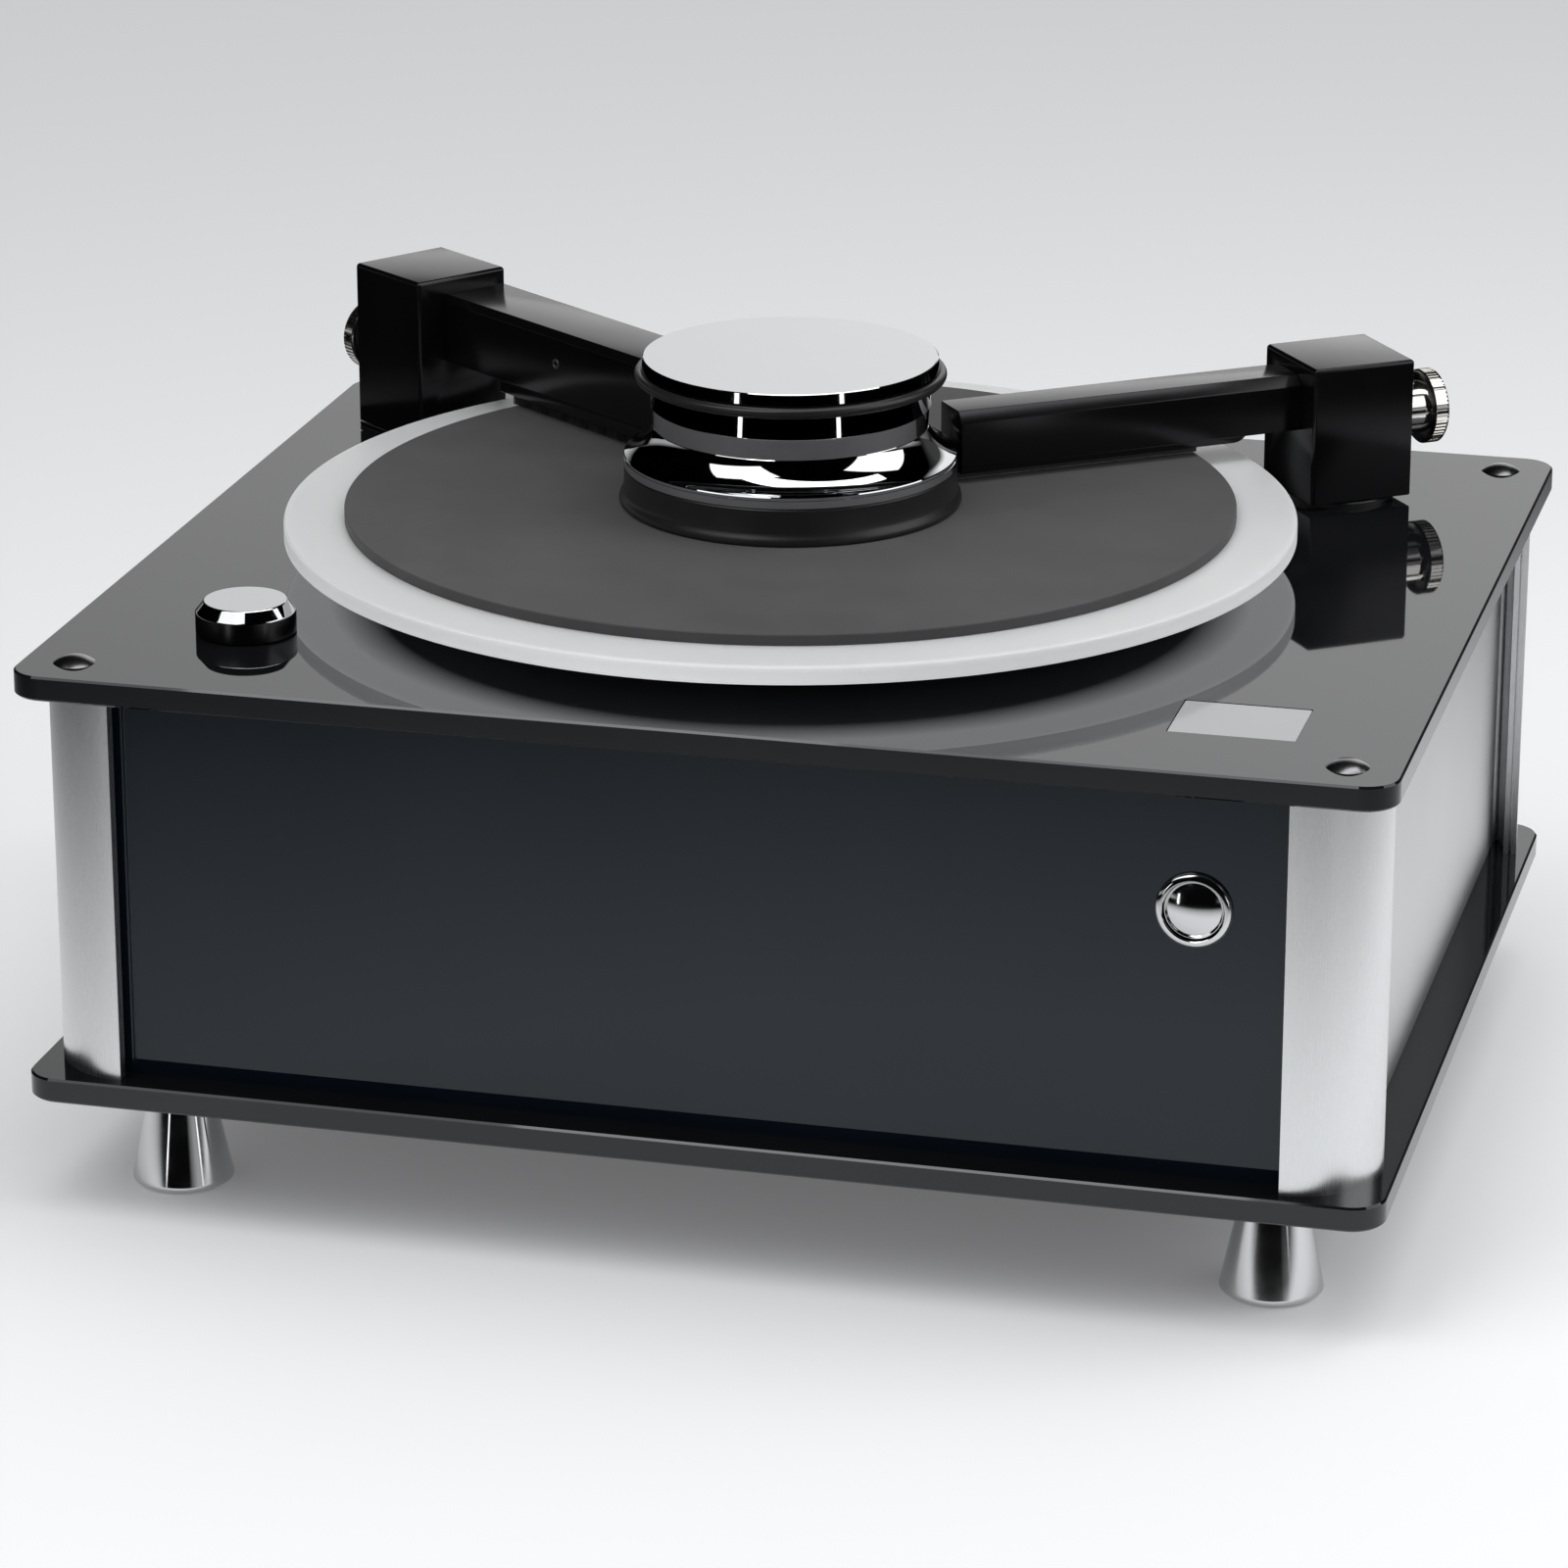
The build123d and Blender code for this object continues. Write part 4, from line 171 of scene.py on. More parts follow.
def turn(name, outline, steps=128):
    """Turn an outline of (radius, height) corners in millimetres about the upright axis."""
    nothing_selected()
    bpy.ops.mesh.primitive_plane_add(size=MM)
    piece = bpy.context.object
    piece.name = name
    bpy.ops.object.mode_set(mode="EDIT")
    bpy.ops.mesh.select_mode(type="VERT")
    bpy.ops.mesh.select_all(action="SELECT")
    bpy.ops.mesh.merge(type="CENTER")
    bpy.ops.transform.translate(value=(outline[0][0] * MM, 0, outline[0][1] * MM))
    for (r0, z0), (r1, z1) in zip(outline, outline[1:]):
        step = ((r1 - r0) * MM, 0, (z1 - z0) * MM)
        bpy.ops.mesh.extrude_vertices_move(TRANSFORM_OT_translate={"value": step})
    bpy.ops.mesh.select_all(action="SELECT")
    bpy.ops.mesh.spin(steps=steps, angle=2 * pi, center=(0, 0, 0), axis=(0, 0, 1))
    bpy.ops.mesh.select_all(action="SELECT")
    bpy.ops.mesh.remove_doubles(threshold=0.004 * MM)
    bpy.ops.mesh.normals_make_consistent(inside=False)
    bpy.ops.object.mode_set(mode="OBJECT")
    return piece


def block(name, low, high):
    """A block between two corners in millimetres, left in edit mode."""
    nothing_selected()
    low, high = Vector(low), Vector(high)
    bpy.ops.mesh.primitive_cube_add(size=1, location=(low + high) / 2 * MM, scale=(high - low) * MM)
    piece = bpy.context.object
    piece.name = name
    bpy.ops.object.transform_apply(location=True, rotation=True, scale=True)
    bpy.ops.object.mode_set(mode="EDIT")
    return piece


def soften(piece, width, segments=3, angle=30):
    """Round every sharp edge of a piece."""
    pick(piece)
    bpy.ops.object.modifier_add(type="BEVEL")
    bevel = piece.modifiers[-1]
    bevel.width = width * MM
    bevel.segments = segments
    bevel.limit_method = "ANGLE"
    bevel.angle_limit = radians(angle)
    bevel.use_clamp_overlap = True
    bpy.ops.object.modifier_apply(modifier=bevel.name)


def stand(piece, place, heading=0.0, tilt=(0.0, 0.0)):
    """Put a piece that was made round the origin in its place, in millimetres."""
    pick(piece)
    piece.rotation_euler = (tilt[0], tilt[1], heading)
    piece.location = Vector(place) * MM
    bpy.ops.object.transform_apply(location=True, rotation=True, scale=True)


def join(name, pieces):
    """Join pieces into one."""
    pick(pieces[0])
    for piece in pieces[1:]:
        piece.select_set(True)
    bpy.ops.object.join()
    pieces[0].name = name
    return pieces[0]


def again(piece, name, move=(0, 0, 0)):
    """Copy a piece, with its own mesh, and move the copy by millimetres."""
    pick(piece)
    bpy.ops.object.duplicate(linked=False)
    copy = bpy.context.object
    copy.name = name
    copy.location = Vector(move) * MM
    bpy.ops.object.transform_apply(location=True, rotation=False, scale=False)
    return copy


def dress(piece, finish, body, slot, *nodes, smooth=35):
    """Give a finished piece its finish and its body, and hide the nodes it stands for; the slot is not used.
    """
    pick(piece)
    bpy.ops.object.shade_smooth_by_angle(angle=radians(smooth))
    piece.data.materials.clear()
    piece.data.materials.append(finish)
    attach(piece, body)
    if nodes:
        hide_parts(*nodes)
    return piece


def coat(finish, *nodes):
    """Give nodes of the frame a finish."""
    for name in nodes:
        node = NODES[name]
        if not node.material_slots:
            node.data.materials.append(finish)
        for holder in node.material_slots:
            holder.material = finish


# ---------------------------------------------------------------- shader sums
class Level:
    """A value in a finish that takes part in sums."""

    def __init__(self, finish, socket):
        self.finish = finish
        self.socket = socket

    def __add__(self, other):
        return self.finish.sum("ADD", self, other)

    def __sub__(self, other):
        return self.finish.sum("SUBTRACT", self, other)

    def __rsub__(self, other):
        return self.finish.sum("SUBTRACT", other, self)

    def __mul__(self, other):
        return self.finish.sum("MULTIPLY", self, other)

    def __pow__(self, other):
        return self.finish.sum("POWER", self, other)

    __radd__ = __add__
    __rmul__ = __mul__


class Sums:
    """Builds the nodes of one node tree."""

    def __init__(self, tree):
        self.tree = tree

    def node(self, kind, settings=None, sockets=None, out=0):
        """Add a node: its settings first, then the values or links of its sockets."""
        made = self.tree.nodes.new(kind)
        for key, value in (settings or {}).items():
            setattr(made, key, value)
        for key, value in (sockets or {}).items():
            if isinstance(value, Level):
                self.tree.links.new(value.socket, made.inputs[key])
            else:
                made.inputs[key].default_value = value
        if isinstance(out, tuple):
            return [Level(self, made.outputs[name]) for name in out]
        return Level(self, made.outputs[out])

    def sum(self, operation, a, b):
        """Work out one sum of two values."""
        return self.node("ShaderNodeMath", {"operation": operation}, {0: a, 1: b})

    def limit(self, value, low, high, to_low=0.0, to_high=1.0):
        """Spread the part of a value between two limits over a new range."""
        return self.node(
            "ShaderNodeMapRange",
            {"clamp": True},
            {"Value": value, "From Min": low, "From Max": high, "To Min": to_low, "To Max": to_high},
        )

    def blend(self, amount, a, b):
        """Mix two colours."""
        a, b = [c if isinstance(c, Level) else (*c, 1) for c in (a, b)]
        return self.node("ShaderNodeMix", {"data_type": "RGBA"}, {0: amount, 6: a, 7: b}, out=2)

    def seen_straight(self):
        """1 for what the camera, a gloss or clear plastic sees, and for a gloss alone."""
        camera, glossy, clear = self.node(
            "ShaderNodeLightPath", out=("Is Camera Ray", "Is Glossy Ray", "Is Transmission Ray")
        )
        return self.sum("MAXIMUM", self.sum("MAXIMUM", camera, glossy), clear), glossy


class Finish(Sums):
    """One procedural material, built round its Principled shader."""

    def __init__(self, name, **settings):
        self.material = bpy.data.materials.new(name)
        self.material.use_nodes = True
        super().__init__(self.material.node_tree)
        self.shader = self.tree.nodes["Principled BSDF"]
        for socket, value in settings.items():
            self.shader.inputs[socket.replace("_", " ")].default_value = value
        self.place = self.node("ShaderNodeTexCoord", out="Object")

    def grain(self, size, detail=3, roughness=0.5, stretch=(1, 1, 1)):
        """Noise from 0 to 1 with features of a size in millimetres, drawn out by a stretch."""
        scale = [1 / (size * MM * s) for s in stretch]
        placed = self.node("ShaderNodeMapping", {}, {"Vector": self.place, "Scale": scale})
        return self.node(
            "ShaderNodeTexNoise",
            {"noise_dimensions": "3D"},
            {"Vector": placed, "Scale": 1.0, "Detail": detail, "Roughness": roughness},
        )

    def feed(self, socket, value):
        """Link a value to a socket of the shader."""
        self.tree.links.new(value.socket, self.shader.inputs[socket])

    def relief(self, height, depth, strength=1.0):
        """Raise the surface by a height from 0 to 1 times a depth in millimetres."""
        inputs = {"Height": height, "Distance": depth * MM, "Strength": strength}
        self.feed("Normal", self.node("ShaderNodeBump", {}, inputs, out="Normal"))


# ---------------------------------------------------------------- finishes
def tone(colour, factor, lift=0.0):
    """A colour made darker or lighter by a factor, then lifted."""
    return [min(1, c * factor + lift) for c in colour]


def gloss_black(name, colour, tint=(0.92, 0.965, 1, 1)):
    """Polished black acrylic: faint waves, a trace of wiping haze and a few dust specks."""
    finish = Finish(name, IOR=1.54, Specular_Tint=tint)
    haze = finish.grain(60, 4, 0.6)
    wipes = finish.grain(9, 3, 0.5, (1, 6, 1))
    specks = finish.limit(finish.grain(0.9, 1, 0.4), 0.77, 0.82)
    shade = finish.limit(haze, 0.3, 0.75) * 0.5 + specks * 0.12
    finish.feed("Base Color", finish.blend(shade, colour, tone(colour, 1.8, 0.002)))
    finish.feed("Roughness", finish.limit(haze, 0.3, 0.8, 0.018, 0.032) + wipes * 0.012 + specks * 0.05)
    finish.relief(finish.grain(45, 2, 0.4), 0.02, 0.15)
    return finish.material


def satin_metal(name, colour, roughness, way=(1, 1, 40)):
    """Anodised extrusion: a fine drawn grain along its length over a blasted skin."""
    finish = Finish(name, Metallic=1.0)
    drawn = finish.grain(0.35, 3, 0.6, way)
    blast = finish.grain(0.22, 2, 0.6)
    cloud = finish.grain(40, 3, 0.5)
    shade = finish.limit(drawn, 0.25, 0.75) * 0.6 + finish.limit(cloud, 0.3, 0.7) * 0.4
    finish.feed("Base Color", finish.blend(shade, tone(colour, 0.96), tone(colour, 1.03)))
    finish.feed("Roughness", finish.limit(drawn, 0.2, 0.8, roughness - 0.03, roughness + 0.03) + blast * 0.03)
    finish.relief(drawn * 0.5 + blast * 0.5, 0.0025, 0.6)
    return finish.material


def anodised_black(name, colour):
    """Black anodised aluminium: fine blasted grain that catches light at a low angle."""
    finish = Finish(name, IOR=1.7, Specular_Tint=(0.4, 0.4, 0.42, 1))
    grain = finish.grain(0.16, 2, 0.6)
    cloud = finish.grain(25, 3, 0.5)
    finish.feed("Base Color", finish.blend(grain * 0.5 + cloud * 0.3, colour, tone(colour, 1.7, 0.0004)))
    finish.feed("Roughness", finish.limit(cloud, 0.3, 0.7, 0.15, 0.19) + grain * 0.03)
    finish.relief(grain, 0.004, 0.4)
    return finish.material


def polished(name, colour, roughness=0.03, rings=False, above=None):
    """Polished plated metal with the faint lines of the polishing wheel, satin black below a height."""
    finish = Finish(name, Metallic=1.0)
    lines = finish.grain(0.5, 2, 0.5, (12, 12, 1))
    haze = finish.grain(14, 3, 0.5)
    shade = finish.blend(haze, tone(colour, 0.97), colour)
    gloss = finish.limit(haze, 0.3, 0.7, roughness, roughness * 1.8) + lines * (roughness * 0.5)
    if above is not None:
        z = finish.node("ShaderNodeSeparateXYZ", {}, {0: finish.place}, out="Z")
        bright = finish.limit(z, (above - 0.03) * MM, (above + 0.03) * MM)
        shade = finish.blend(bright, (0.06, 0.06, 0.063), shade)
        gloss = gloss + finish.limit(bright, 0, 1, 0.2, 0)
    finish.feed("Base Color", shade)
    finish.feed("Roughness", gloss)
    finish.relief(lines, 0.004, 0.25 if rings else 0.1)
    return finish.material


def frosted_acrylic(name, colour, low, high):
    """Frosted white acrylic with a soft sheen; a painted glow on the underside outside the mat and on the
    rim's side stands in for light coming through.
    """
    finish = Finish(
        name,
        IOR=1.49,
        Subsurface_Weight=1.0,
        Subsurface_Radius=(1, 1, 1),
        Subsurface_Scale=0.006,
        Emission_Strength=1.0,
    )
    # Painted light: the masks below feed an emission that makes the underside outside the mat and the rim's
    # side glow, standing in for light passing through the acrylic.
    x, y, z = finish.node("ShaderNodeSeparateXYZ", {}, {0: finish.place}, out=("X", "Y", "Z"))
    reach = ((x - PLATTER_AXIS.x * MM) ** 2 + (y - PLATTER_AXIS.y * MM) ** 2) ** 0.5
    under = finish.limit(z, (low + 0.05) * MM, (low + 0.3) * MM, 0.86, 0.0)
    painted_glow_ring = finish.limit(reach, (MAT_RADIUS - 9) * MM, (MAT_RADIUS + 5) * MM)
    rim = finish.limit(reach, (PLATTER_RADIUS - 0.4) * MM, (PLATTER_RADIUS - 0.1) * MM)
    side = rim * finish.limit(z, (low + 0.3) * MM, high * MM, 0.34, 0.12)
    through = finish.sum("MAXIMUM", under * painted_glow_ring, side)
    finish.feed("Emission Color", finish.blend(through, (0, 0, 0), (0.96, 0.985, 1.0)))
    frost = finish.grain(0.25, 2, 0.6)
    cloud = finish.grain(50, 3, 0.5)
    finish.feed("Base Color", finish.blend(finish.limit(cloud, 0.3, 0.7), tone(colour, 0.97), colour))
    finish.feed("Roughness", 0.36 + frost * 0.08)
    finish.relief(frost, 0.006, 0.4)
    return finish.material


def rubber_mat(name, colour):
    """The platter's rubber mat: fine pimpled skin with soft cloudy marks."""
    finish = Finish(name, IOR=1.48, Sheen_Weight=0.12, Sheen_Roughness=0.5)
    skin = finish.grain(0.45, 3, 0.65)
    marks = finish.grain(26, 4, 0.6)
    fibres = finish.grain(1.6, 3, 0.6)
    shade = finish.limit(marks, 0.32, 0.72) * 0.6 + skin * 0.25 + fibres * 0.15
    finish.feed("Base Color", finish.blend(shade, tone(colour, 0.8), tone(colour, 1.25)))
    finish.feed("Roughness", 0.62 + skin * 0.2 + marks * 0.05)
    finish.relief(skin * 0.7 + fibres * 0.3, 0.03, 0.55)
    return finish.material


def plain_rubber(name, colour, roughness):
    """Moulded rubber with a fine skin."""
    finish = Finish(name, IOR=1.5)
    skin = finish.grain(0.3, 2, 0.6)
    bloom = finish.grain(8, 3, 0.5)
    finish.feed("Base Color", finish.blend(bloom * 0.6 + skin * 0.3, colour, tone(colour, 1.8, 0.003)))
    finish.feed("Roughness", roughness + bloom * 0.1 + skin * 0.05)
    finish.relief(skin, 0.01, 0.4)
    return finish.material


def turned_metal(name, colour, roughness):
    """Machined metal with fine tool marks."""
    finish = Finish(name, Metallic=1.0)
    marks = finish.grain(0.3, 3, 0.6)
    stain = finish.grain(7, 3, 0.5)
    finish.feed("Base Color", finish.blend(stain * 0.5 + marks * 0.4, tone(colour, 0.88), colour))
    finish.feed("Roughness", roughness + marks * 0.08 + stain * 0.05)
    finish.relief(marks, 0.006, 0.5)
    return finish.material


def black_chrome(name, colour):
    """Dark plated steel with a rubbed polish."""
    finish = Finish(name, Metallic=1.0)
    rubbed = finish.grain(2.5, 3, 0.6)
    grain = finish.grain(0.2, 2, 0.5)
    finish.feed("Base Color", finish.blend(finish.limit(rubbed, 0.4, 0.75), colour, tone(colour, 1.2)))
    finish.feed("Roughness", 0.2 + grain * 0.03 + rubbed * 0.04)
    finish.relief(grain, 0.003, 0.2)
    return finish.material


def window_pane(name, colour):
    """The deck's pane: pale satin acrylic under a glossy face."""
    finish = Finish(name, IOR=1.5, Coat_Roughness=0.03)
    milk = finish.grain(10, 3, 0.5)
    fine = finish.grain(0.4, 2, 0.5)
    finish.feed("Base Color", finish.blend(milk, tone(colour, 0.96), colour))
    finish.feed("Roughness", 0.1 + fine * 0.06)
    finish.feed("Coat Weight", 0.5 + milk * 0.2)
    finish.relief(fine, 0.003, 0.3)
    return finish.material


def felt(name, colour):
    """Pressed felt: short fibres in every direction."""
    finish = Finish(name, Sheen_Weight=0.6, Sheen_Roughness=0.5)
    fibres = finish.grain(0.18, 4, 0.8)
    tufts = finish.grain(1.2, 3, 0.6)
    finish.feed("Base Color", finish.blend(fibres * 0.6 + tufts * 0.4, tone(colour, 0.6), tone(colour, 1.3)))
    finish.feed("Roughness", 0.85 + fibres * 0.1)
    finish.relief(fibres, 0.12, 0.8)
    return finish.material


def moulded(name, colour, roughness=0.4, depth=0.02):
    """Moulded plastic with a fine spark-eroded skin."""
    finish = Finish(name, IOR=1.5)
    skin = finish.grain(0.35, 2, 0.55)
    flow = finish.grain(18, 3, 0.5)
    shade = flow * 0.6 + skin * 0.3
    finish.feed("Base Color", finish.blend(shade, tone(colour, 0.9), tone(colour, 1.12, 0.002)))
    finish.feed("Roughness", roughness + skin * 0.1 + flow * 0.04)
    finish.relief(skin, depth, 0.35)
    return finish.material


def clear_plastic(name, colour, roughness, clear):
    """Tank and hose plastic that lets light through."""
    finish = Finish(name, IOR=1.45, Transmission_Weight=clear)
    flow = finish.grain(12, 3, 0.5)
    finish.feed("Base Color", finish.blend(flow, tone(colour, 0.95), colour))
    finish.feed("Roughness", roughness + flow * 0.1)
    finish.relief(flow, 0.05, 0.2)
    return finish.material


def board_green(name, colour):
    """Circuit board lacquer over darker copper areas."""
    finish = Finish(name, IOR=1.5)
    tracks = finish.limit(finish.grain(2.2, 1, 0.4, (3, 1, 1)), 0.48, 0.52)
    finish.feed("Base Color", finish.blend(tracks, colour, tone(colour, 0.55)))
    finish.feed("Roughness", 0.25 + tracks * 0.1)
    finish.relief(tracks, 0.03, 0.5)
    return finish.material


# ---------------------------------------------------------------- what a user would change
class CaseSettings(bpy.types.PropertyGroup):
    black: bpy.props.FloatVectorProperty(
        name="Black acrylic", description="Colour of the plates and of the front and rear panels",
        default=(0.0045, 0.0048, 0.0055), subtype="COLOR", min=0, max=1)
    aluminium: bpy.props.FloatVectorProperty(
        name="Aluminium", description="Colour of the corner posts and side panels",
        default=(0.78, 0.79, 0.80), subtype="COLOR", min=0, max=1)
    window: bpy.props.FloatVectorProperty(
        name="Window", description="Colour of the pane in the deck",
        default=(0.26, 0.27, 0.275), subtype="COLOR", min=0, max=1)
    satin: bpy.props.FloatProperty(
        name="Satin", description="Roughness of the aluminium",
        default=0.27, min=0.05, max=1, subtype="FACTOR")


class PlatterSettings(bpy.types.PropertyGroup):
    acrylic: bpy.props.FloatVectorProperty(
        name="Platter", description="Colour of the frosted platter",
        default=(0.58, 0.59, 0.595), subtype="COLOR", min=0, max=1)
    mat: bpy.props.FloatVectorProperty(
        name="Mat", description="Colour of the rubber mat",
        default=(0.049, 0.048, 0.051), subtype="COLOR", min=0, max=1)


class ArmSettings(bpy.types.PropertyGroup):
    black: bpy.props.FloatVectorProperty(
        name="Anodised black", description="Colour of the towers and bars",
        default=(0.0016, 0.0016, 0.0019), subtype="COLOR", min=0, max=1)
    edge: bpy.props.FloatProperty(
        name="Edge", description="Width of the round on the towers' and bars' edges",
        default=0.0003, min=0.0001, max=0.001, unit="LENGTH")
    ridges: bpy.props.IntProperty(
        name="Ridges", description="Knurled ridges round a thumbscrew's head", default=56, min=12, max=72)


class PlatedSettings(bpy.types.PropertyGroup):
    chrome: bpy.props.FloatVectorProperty(
        name="Chrome", description="Colour of the plated pieces",
        default=(0.66, 0.67, 0.68), subtype="COLOR", min=0, max=1)
    black: bpy.props.FloatVectorProperty(
        name="Black chrome", description="Colour of the deck screws",
        default=(0.2, 0.2, 0.205), subtype="COLOR", min=0, max=1)
    nickel: bpy.props.FloatVectorProperty(
        name="Nickel", description="Colour of the thumbscrews",
        default=(0.82, 0.80, 0.77), subtype="COLOR", min=0, max=1)


class StageSettings(bpy.types.PropertyGroup):
    floor: bpy.props.FloatVectorProperty(
        name="Floor", description="Colour of the floor",
        default=(0.83, 0.84, 0.85), subtype="COLOR", min=0, max=1)
    lens: bpy.props.FloatProperty(
        name="Lens", description="Focal length in millimetres",
        default=139.93, min=20, max=300, unit="CAMERA")


GROUPS = {
    "machine_case": CaseSettings,
    "machine_platter": PlatterSettings,
    "machine_arms": ArmSettings,
    "machine_plated": PlatedSettings,
    "machine_stage": StageSettings,
}


# ---------------------------------------------------------------- case
class MACHINE_OT_case(bpy.types.Operator):
    """Finish the plates, the corner posts, the panels and the deck's window"""

    bl_idname = "machine.case"
    bl_label = "Case"

    def execute(self, context):
        settings = context.scene.machine_case
        black = gloss_black("gloss_black", settings.black)
        post = satin_metal("post_aluminium", settings.aluminium, settings.satin)
        panel = satin_metal("panel_aluminium", settings.aluminium, settings.satin + 0.15, (1, 30, 1))
        coat(black, "top_plate", "bottom_plate")
        bluish = [settings.black[0] * 0.6, settings.black[1], settings.black[2] * 1.5]
        coat(gloss_black("panel_black", bluish, (0.72, 0.78, 0.82, 1)), "front_panel", "rear_panel")
        coat(post, *[name for name in NODES if name.startswith("corner_post")])
        coat(panel, "left_panel", "right_panel")
        low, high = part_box("deck_window")
        pane = block("window_pane", low / MM, (high.x / MM, high.y / MM, DECK - 0.12))
        choose("EDGE", lambda e: abs(edge_way(e).z) > 0.9)
        bpy.ops.mesh.bevel(offset=0.8 * MM, segments=5, affect="EDGES")
        choose("FACE", lambda f: f.normal.z > 0.9)
        bpy.ops.mesh.bevel(offset=0.3 * MM, segments=3, affect="EDGES")
        bpy.ops.object.mode_set(mode="OBJECT")
        acrylic = window_pane("window_acrylic", settings.window)
        dress(pane, acrylic, "chassis", "window_glass", "deck_window", smooth=12)
        return {"FINISHED"}


class MACHINE_OT_screws(bpy.types.Operator):
    """Make the domed deck screws and finish the screws of the base"""

    bl_idname = "machine.screws"
    bl_label = "Screws"

    def execute(self, context):
        black = black_chrome("black_screw", context.scene.machine_plated.black)
        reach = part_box("deck_screws")[1] / MM
        x, y = reach.x - DECK_SCREW_RADIUS, reach.y - DECK_SCREW_RADIUS
        ball = (DECK_SCREW_RADIUS**2 + DECK_SCREW_DOME**2) / (2 * DECK_SCREW_DOME)
        dome = [(ball * sin(i * 0.0917), DECK_SCREW_DOME - ball * (1 - cos(i * 0.0917))) for i in range(8)]
        outline = [(0, -20), (2, -20), (2, 0), (DECK_SCREW_RADIUS, 0)]
        outline += [point for point in reversed(dome) if point[0] < DECK_SCREW_RADIUS - 0.1]
        first = turn("deck_screw_1", raised(DECK, outline), 64)
        corners = [(x, y), (-x, y), (x, -y), (-x, -y)]
        screws = [first] + [again(first, f"deck_screw_{i + 2}") for i in range(3)]
        for screw, corner in zip(screws, corners):
            stand(screw, (*corner, 0))
            dress(screw, black, "chassis", "black_screw", "deck_screws")
        coat(turned_metal("base_steel", (0.55, 0.55, 0.56), 0.25), "base_screws", "foot_bolts")
        return {"FINISHED"}


class MACHINE_OT_feet(bpy.types.Operator):
    """Turn one chromed foot with its pad and copy it to the other corners"""

    bl_idname = "machine.feet"
    bl_label = "Feet"

    def execute(self, context):
        chrome = polished("foot_chrome", context.scene.machine_plated.chrome, 0.04)
        rubber = plain_rubber("pad_rubber", (0.012, 0.012, 0.012), 0.6)
        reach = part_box("feet")[1] / MM
        x, y = reach.x - FOOT_RADIUS, reach.y - FOOT_RADIUS
        recess = [(0, 3), (12.05, 3), (12.05, 1)]
        cone = [(14.3, 1), (14.8, 1.5), (14.78, 2.0), (14.62, 2.7), (7.86, 34.6), (7.78, 35.0)]
        bolt_hole = [(3.05, 35.0), (3.05, 22.0), (0, 22.0)]
        foot = turn("foot_1", recess + cone + bolt_hole, 96)
        soften(foot, 0.25, 2)
        pad = turn("foot_pad_1", [(0, 0.0), (11.4, 0.0), (12.0, 0.5), (12.0, 3.0), (0, 3.0)], 64)
        feet = [(again(foot, f"foot_{i + 2}"), again(pad, f"foot_pad_{i + 2}")) for i in range(3)]
        corners = [(x, y), (-x, y), (x, -y), (-x, -y)]
        for (one_foot, one_pad), corner in zip(feet + [(foot, pad)], corners):
            stand(one_foot, (*corner, 0))
            stand(one_pad, (*corner, 0))
            dress(one_foot, chrome, "chassis", "chrome", "feet")
            dress(one_pad, rubber, "chassis", "black_rubber", "foot_pads")
        return {"FINISHED"}


# ---------------------------------------------------------------- platter and clamp
class MACHINE_OT_platter(bpy.types.Operator):
    """Turn the frosted platter and its rubber mat"""

    bl_idname = "machine.platter"
    bl_label = "Platter and mat"

    def execute(self, context):
        settings = context.scene.machine_platter
        rubber = rubber_mat("mat_rubber", settings.mat)
        bore = 6.05
        low, high = foot_and_top("platter")
        white = frosted_acrylic("frosted_white", settings.acrylic, low, high)
        outline = [(bore, low), (PLATTER_RADIUS - 0.3, low), (PLATTER_RADIUS, low + 0.3)]
        outline += arc((PLATTER_RADIUS - 0.9, high - 0.9), 0.9, 0, 90, 5)
        disc = turn("frosted_platter", outline + [(bore, high), (bore, low)], 256)
        stand(disc, (PLATTER_AXIS.x, PLATTER_AXIS.y, 0))
        dress(disc, white, "platter", "frosted_white", "platter")
        low, high = foot_and_top("platter_mat")
        rim = [(MAT_RADIUS, low), (MAT_RADIUS, high - 0.25), (MAT_RADIUS - 0.25, high)]
        label_dish = [(46, high), (44, high - 0.15), (4.2, high - 0.15), (3.9, high - 0.4)]
        mat = turn("rubber_mat", [(3.9, low)] + rim + label_dish + [(3.9, low)], 256)
        stand(mat, (PLATTER_AXIS.x, PLATTER_AXIS.y, 0))
        dress(mat, rubber, "platter", "mat_rubber", "platter_mat")
        return {"FINISHED"}


